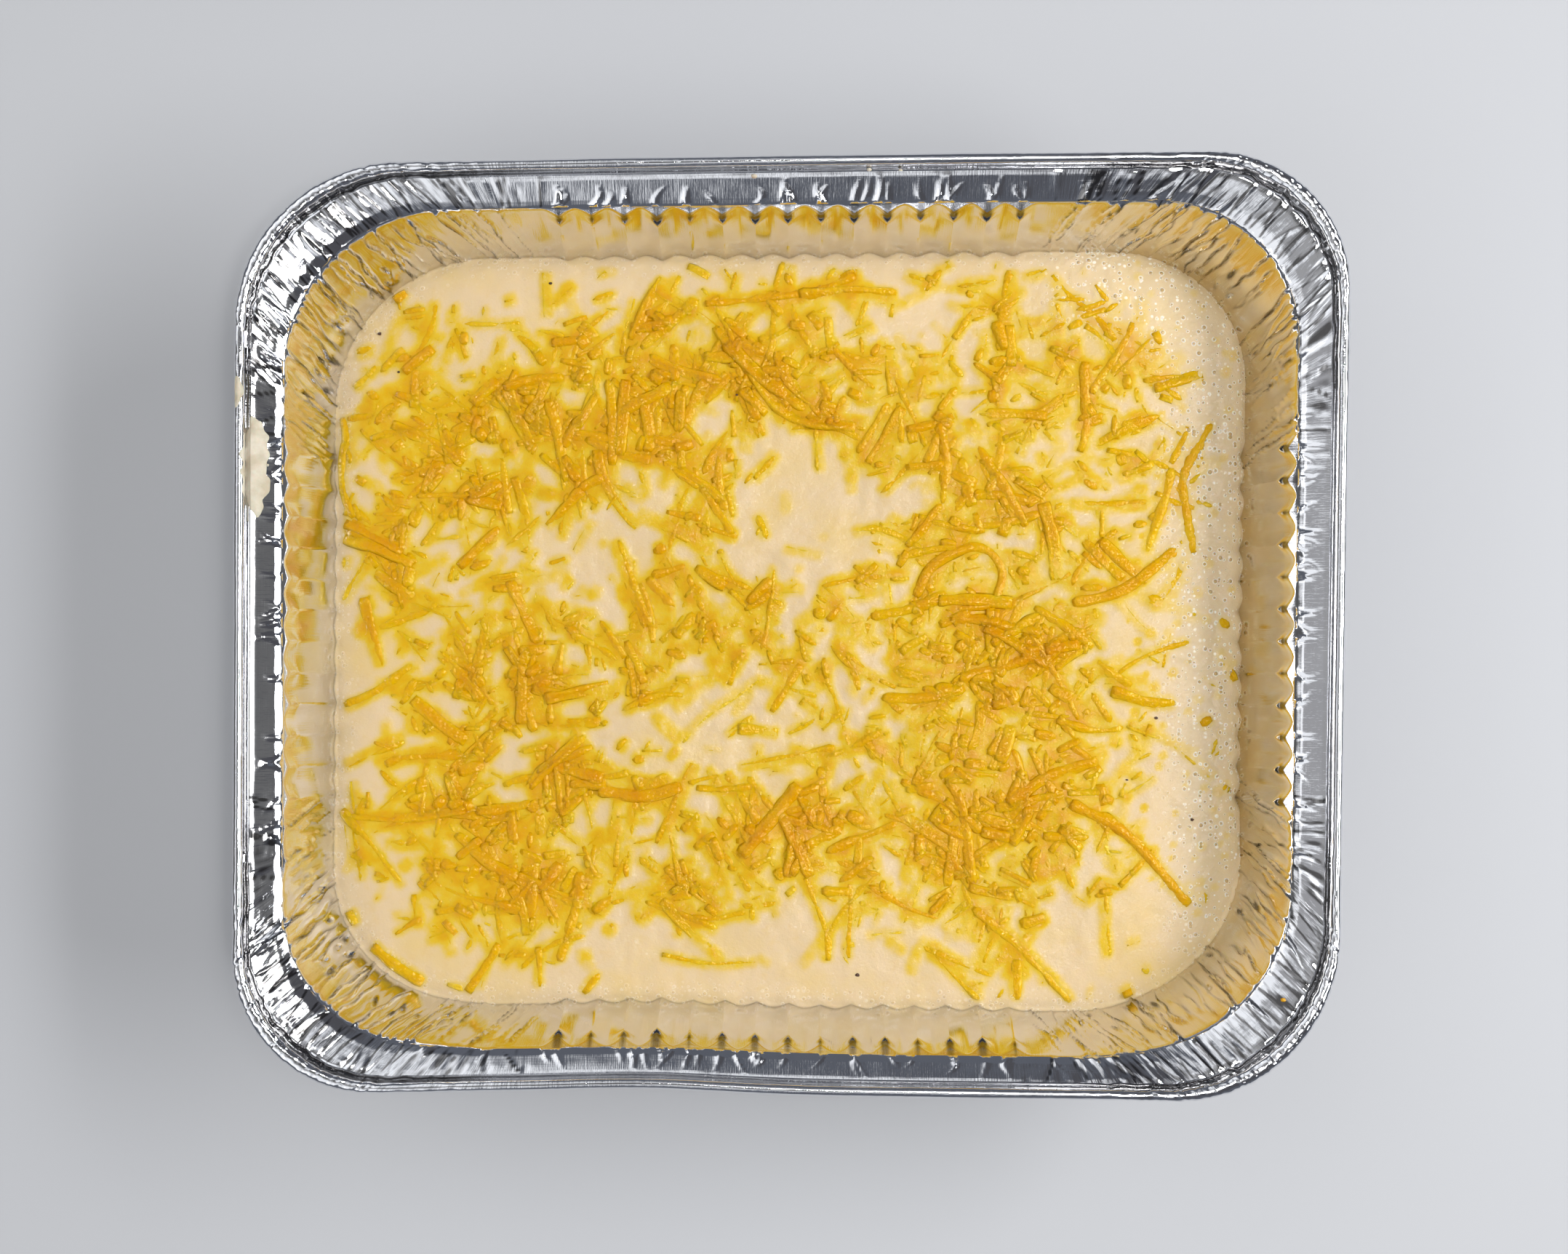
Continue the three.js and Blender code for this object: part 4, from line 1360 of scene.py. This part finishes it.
def cream_material():
    """Pale creamy bake: fine grained, moist, tinted by the cheese that melts into it."""
    material, nodes, shader = new_material(
        "cream", IOR=1.2, Coat_Weight=0.3, Coat_Roughness=0.1, Subsurface_Weight=0.3,
        Subsurface_Radius=(1.0, 0.62, 0.25), Subsurface_Scale=0.0022)
    place = nodes.place()
    froth = nodes.attribute("froth")
    grain = nodes.noise(place, 1100, 3, 0.6)
    cloud = nodes.noise(place, 45, 4)
    flecks = nodes.noise(place, 260, 2)
    wander = nodes.noise(place, 330, 3)

    ragged = nodes.remap(wander, 0.3, 0.7, 0.55, 1.45)
    amount = nodes.times(nodes.attribute("amount"), ragged)
    amount = nodes.math("ADD", amount, nodes.remap(cloud, 0.45, 0.75, 0.0, 0.07))
    bare = nodes.remap(amount, 0.1, 0.5, 1.0, 0.0)
    flecks_seen = nodes.times(nodes.remap(flecks, 0.56, 0.72, 0, 0.25), bare)
    dome, inside, rim = bubbles(nodes, place, froth)
    base = cheese_colour(nodes, amount)
    # painted shade in the bubbles' insides and painted highlight on their rims, over their own paler
    # walls and darker see-through middles
    for share, colour in ((flecks_seen, (209, 176, 112)), (nodes.times(froth, 0.5), (222, 202, 168)),
                          (nodes.times(inside, 0.8), (192, 160, 104)), (rim, (244, 236, 220))):
        base = nodes.mix(share, base, linear(colour))

    normal = nodes.bump(grain, 0.3, 0.0004)
    normal = nodes.bump(dome, 1.0, 0.0014, normal)
    nodes.feed(shader, {"Base Color": base, "Roughness": nodes.remap(grain, 0.3, 0.7, 0.38, 0.58),
                        "Normal": normal, "Coat Normal": wet_film(nodes, place, normal, 0.3)})
    return material


def cheese_material():
    """Half melted cheese: oily and translucent, paler where thin, amber in the heaps, and painted
    darker amber shade where it lies low between shreds.
    """
    material, nodes, shader = new_material(
        "cheese", IOR=1.42, Coat_Weight=0.15, Coat_Roughness=0.06, Specular_Tint=(1.0, 0.8, 0.3, 1),
        Subsurface_Weight=0.3, Subsurface_Radius=(1.0, 0.7, 0.15), Subsurface_Scale=0.002)
    place = nodes.place()
    lane = nodes.attribute("lane", "Vector")
    cloud = nodes.noise(place, 170)
    ridges = nodes.noise(nodes.scaled(lane, (3.0, 0.10, 1)), 1.0, 2)

    off_middle = nodes.math("POWER", nodes.math("ABSOLUTE", nodes.axes(lane)["X"]), 2.0)
    amount = nodes.times(nodes.attribute("amount"), nodes.remap(off_middle, 0, 1, 1.0, 0.45))
    amount = nodes.times(amount, nodes.remap(cloud, 0.3, 0.7, 0.65, 1.35))
    # painted shade: deeper amber where the cheese lies low between the shreds round it
    crease = nodes.remap(nodes.attribute("crease"), 0.1, 1.3, 0, 0.5)
    amount = nodes.math("ADD", amount, crease)
    normal = wet_film(nodes, place, nodes.bump(ridges, 0.4, 0.0004), 0.55)
    nodes.feed(shader, {"Base Color": cheese_colour(nodes, amount),
                        "Roughness": nodes.remap(cloud, 0.3, 0.7, 0.1, 0.22),
                        "Normal": normal, "Coat Normal": normal})
    return material


def grainy_material(name, dark, light, scales, rough, bump, **constants):
    """A cloudy surface between two colours: scales and bumps of its cloud and its grain."""
    material, nodes, shader = new_material(name, **constants)
    place = nodes.place()
    cloud = nodes.noise(place, *scales[0])
    grain = nodes.noise(place, *scales[1])
    base = nodes.mix(nodes.remap(cloud, 0.35, 0.65), linear(dark), linear(light))
    nodes.feed(shader, {"Base Color": base, "Roughness": nodes.remap(cloud, 0.3, 0.7, *rough),
                        "Normal": nodes.bump(grain, *bump)})
    return material


def dried_cream_material():
    """Cream that has dried on the foil: matte, beige, with a few wetter places."""
    return grainy_material("dried_cream", (190, 178, 154), (212, 203, 184), ((210, 4), (900, 3)),
                           (0.6, 0.35), (0.35, 0.0004), IOR=1.3, Subsurface_Weight=0.2,
                           Subsurface_Scale=0.0015)


def crumb_material(name, dark, light, rough):
    return grainy_material(name, dark, light, ((1400, 3), (1400, 3)), (rough, rough + 0.2),
                           (0.4, 0.0003))


def plain_floor_material():
    material, nodes, shader = new_material("floor_paint", Roughness=0.6)
    cloud = nodes.noise(nodes.place(), 3, 2)
    base = nodes.mix(cloud, linear((182, 183, 186)), linear((186, 187, 189)))
    nodes.feed(shader, {"Base Color": base})
    return material


# ---------------------------------------------------------------- stage, light and camera

# Softboxes: place, width along Y and depth, all in metres, then watts and colour
LIGHTS = {
    "key": ((0.46, 0.03, 1.87), (0.54, 0.35), 6.2, (1, 0.985, 0.965)),
    "window": ((1.65, 0.16, 1.33), (2.08, 0.55), 44.0, (0.97, 0.98, 1)),
    "fill": ((-0.98, 0.0, 1.01), (1.9, 0.31), 1.6, (0.97, 0.98, 1)),
    "spark": ((0.24, 0.18, 1.93), (0.1, 0.1), 2.9, (1, 1, 1)),
    "glint": ((0.46, -0.27, 1.86), (0.1, 0.1), 2.9, (1, 1, 1)),
}
LIGHTS_AIM = (0, 0, 0.03)
FLOOR_HALF = 2000

# The camera hangs almost straight above: what it looks at, its turn, and its lens as a
# share of the frame's width
CAMERA_AIM = (-1.02, -0.67, 60)
CAMERA_TURN = (0.0225, 0.0148, 0.0002)
CAMERA_DISTANCE = 600
LENS_SHARE = 1.3278
SENSOR_WIDTH = 36

WHITE = (1.1, 1.12, 1.15, 1)


def add_area_light(name, place, size, power, colour):
    data = bpy.data.lights.new(name, "AREA")
    data.shape = "RECTANGLE"
    data.size, data.size_y = size
    data.energy = power
    data.color = colour
    light = bpy.data.objects.new(name, data)
    light.location = place
    aim = Vector(LIGHTS_AIM) - Vector(place)
    light.rotation_euler = aim.to_track_quat("-Z", "Y").to_euler()
    bpy.context.scene.collection.objects.link(light)


def add_world():
    """A dim studio: a paler ceiling, a dark patch round the camera, and white corners and
    strips that the rim reflects."""
    world = bpy.data.worlds.new("studio")
    nodes = Nodes(world)
    x, y, z = nodes.axes(nodes.place("Generated"))
    far_x, far_y = nodes.math("ABSOLUTE", x), nodes.math("ABSOLUTE", y)
    shade = nodes.ramp(z, ((0.0, 0.15), (0.45, 0.11), (0.6, 0.14), (0.82, 0.16), (0.93, 0.4),
                           (0.965, 0.4), (0.99, 0.1)))
    left = nodes.times(nodes.remap(x, -0.3, -0.45), nodes.remap(z, 0.55, 0.7))
    strips = nodes.ramp(z, ((0.83, 0.0), (0.88, 1.0), (0.93, 1.0), (0.96, 0.0)))
    strips = nodes.times(strips, nodes.remap(far_y, 0.25, 0.35))
    strips = nodes.times(strips, nodes.remap(far_x, 0.08, 0.16, 1, 0))
    corner = nodes.times(x, nodes.remap(far_y, 0.15, 0.3))
    corner = nodes.times(corner, nodes.remap(z, 0.4, 0.6))
    for share, colour in (
        (left, (0.42, 0.42, 0.43, 1)),
        (nodes.remap(far_y, 0.25, 0.45), (0.125, 0.135, 0.16, 1)),
        (strips, WHITE),
        (nodes.remap(corner, -0.06, -0.1), (0.4, 0.41, 0.43, 1)),
        (nodes.remap(corner, -0.13, -0.2), WHITE),
        (nodes.remap(corner, 0.08, 0.16), (0.09, 0.09, 0.1, 1)),
    ):
        shade = nodes.mix(share, shade, colour)
    nodes.feed(nodes.tree.nodes["Background"], {"Color": shade})
    bpy.context.scene.world = world


def add_camera():
    data = bpy.data.cameras.new("camera")
    data.sensor_width = SENSOR_WIDTH
    data.sensor_fit = "HORIZONTAL"
    data.lens = SENSOR_WIDTH * LENS_SHARE
    camera = bpy.data.objects.new("camera", data)
    turn = Euler(CAMERA_TURN)
    camera.rotation_euler = turn
    camera.location = Vector(CAMERA_AIM) * MM + turn.to_matrix() @ Vector((0, 0, CAMERA_DISTANCE * MM))
    bpy.context.scene.collection.objects.link(camera)
    bpy.context.scene.camera = camera


def add_stage():
    corners = [(x * FLOOR_HALF, y * FLOOR_HALF, 0) for x, y in ((-1, -1), (1, -1), (1, 1), (-1, 1))]
    floor = mesh_object("floor", corners, [[0, 1, 2, 3]], plain_floor_material())
    for name, settings in LIGHTS.items():
        add_area_light(name, *settings)
    add_world()
    add_camera()
    bpy.context.scene.view_settings.view_transform = "Standard"


# ---------------------------------------------------------------- assembly

foil = foil_material()
rim, rim_sheet = tray_rim(foil)
for piece in (tray_body(foil), rim):
    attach(piece, "root")
    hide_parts("foil_tray")

pile = make_pile()
long_ones = [shred for shred in pile.shreds if len(shred[0]) >= LONG_FROM_RINGS]
short_ones = [shred for shred in pile.shreds if len(shred[0]) < LONG_FROM_RINGS]
cheese = cheese_material()
dried = dried_cream_material()
burnt = crumb_material("burnt_crumb", (38, 22, 12), (92, 56, 26), 0.4)
fat = crumb_material("fat", (205, 146, 12), (214, 160, 24), 0.15)
speck_spots = [((x, y, float(sample(pile.top, x, y)) + 0.1), width, 0.3 * width)
               for x, y, width in SPECKS]
crumb_spots = [(on_foil(rim_sheet, x, y), width, 0.4 * width) for x, y, width in RIM_CRUMBS]
fat_spots = [(on_foil(rim_sheet, x, y), width, 0.3 * width) for x, y, width in FAT_ON_RIM]
dressing = [
    (cream(pile, cream_material()), "cream"),
    (shred_mesh("cheese_shreds", long_ones, pile, cheese), "cheese"),
    (shred_mesh("cheese_bits", short_ones, pile, cheese), "cheese"),
    (lumps_mesh("burnt_crumbs", speck_spots, burnt), None),
]
for piece, slot in dressing:
    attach(piece, "root")
    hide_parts("cheesy_filling")

spilt = [
    smear("cream_smear", rim_sheet, SMEARS[0], dried),
    smear("cream_blob", rim_sheet, SMEARS[1], dried),
    lumps_mesh("rim_crumbs", crumb_spots, dried),
    lumps_mesh("fat_drop", fat_spots, fat),
]
for piece in spilt:
    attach(piece, "root")
    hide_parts("foil_tray")

add_stage()
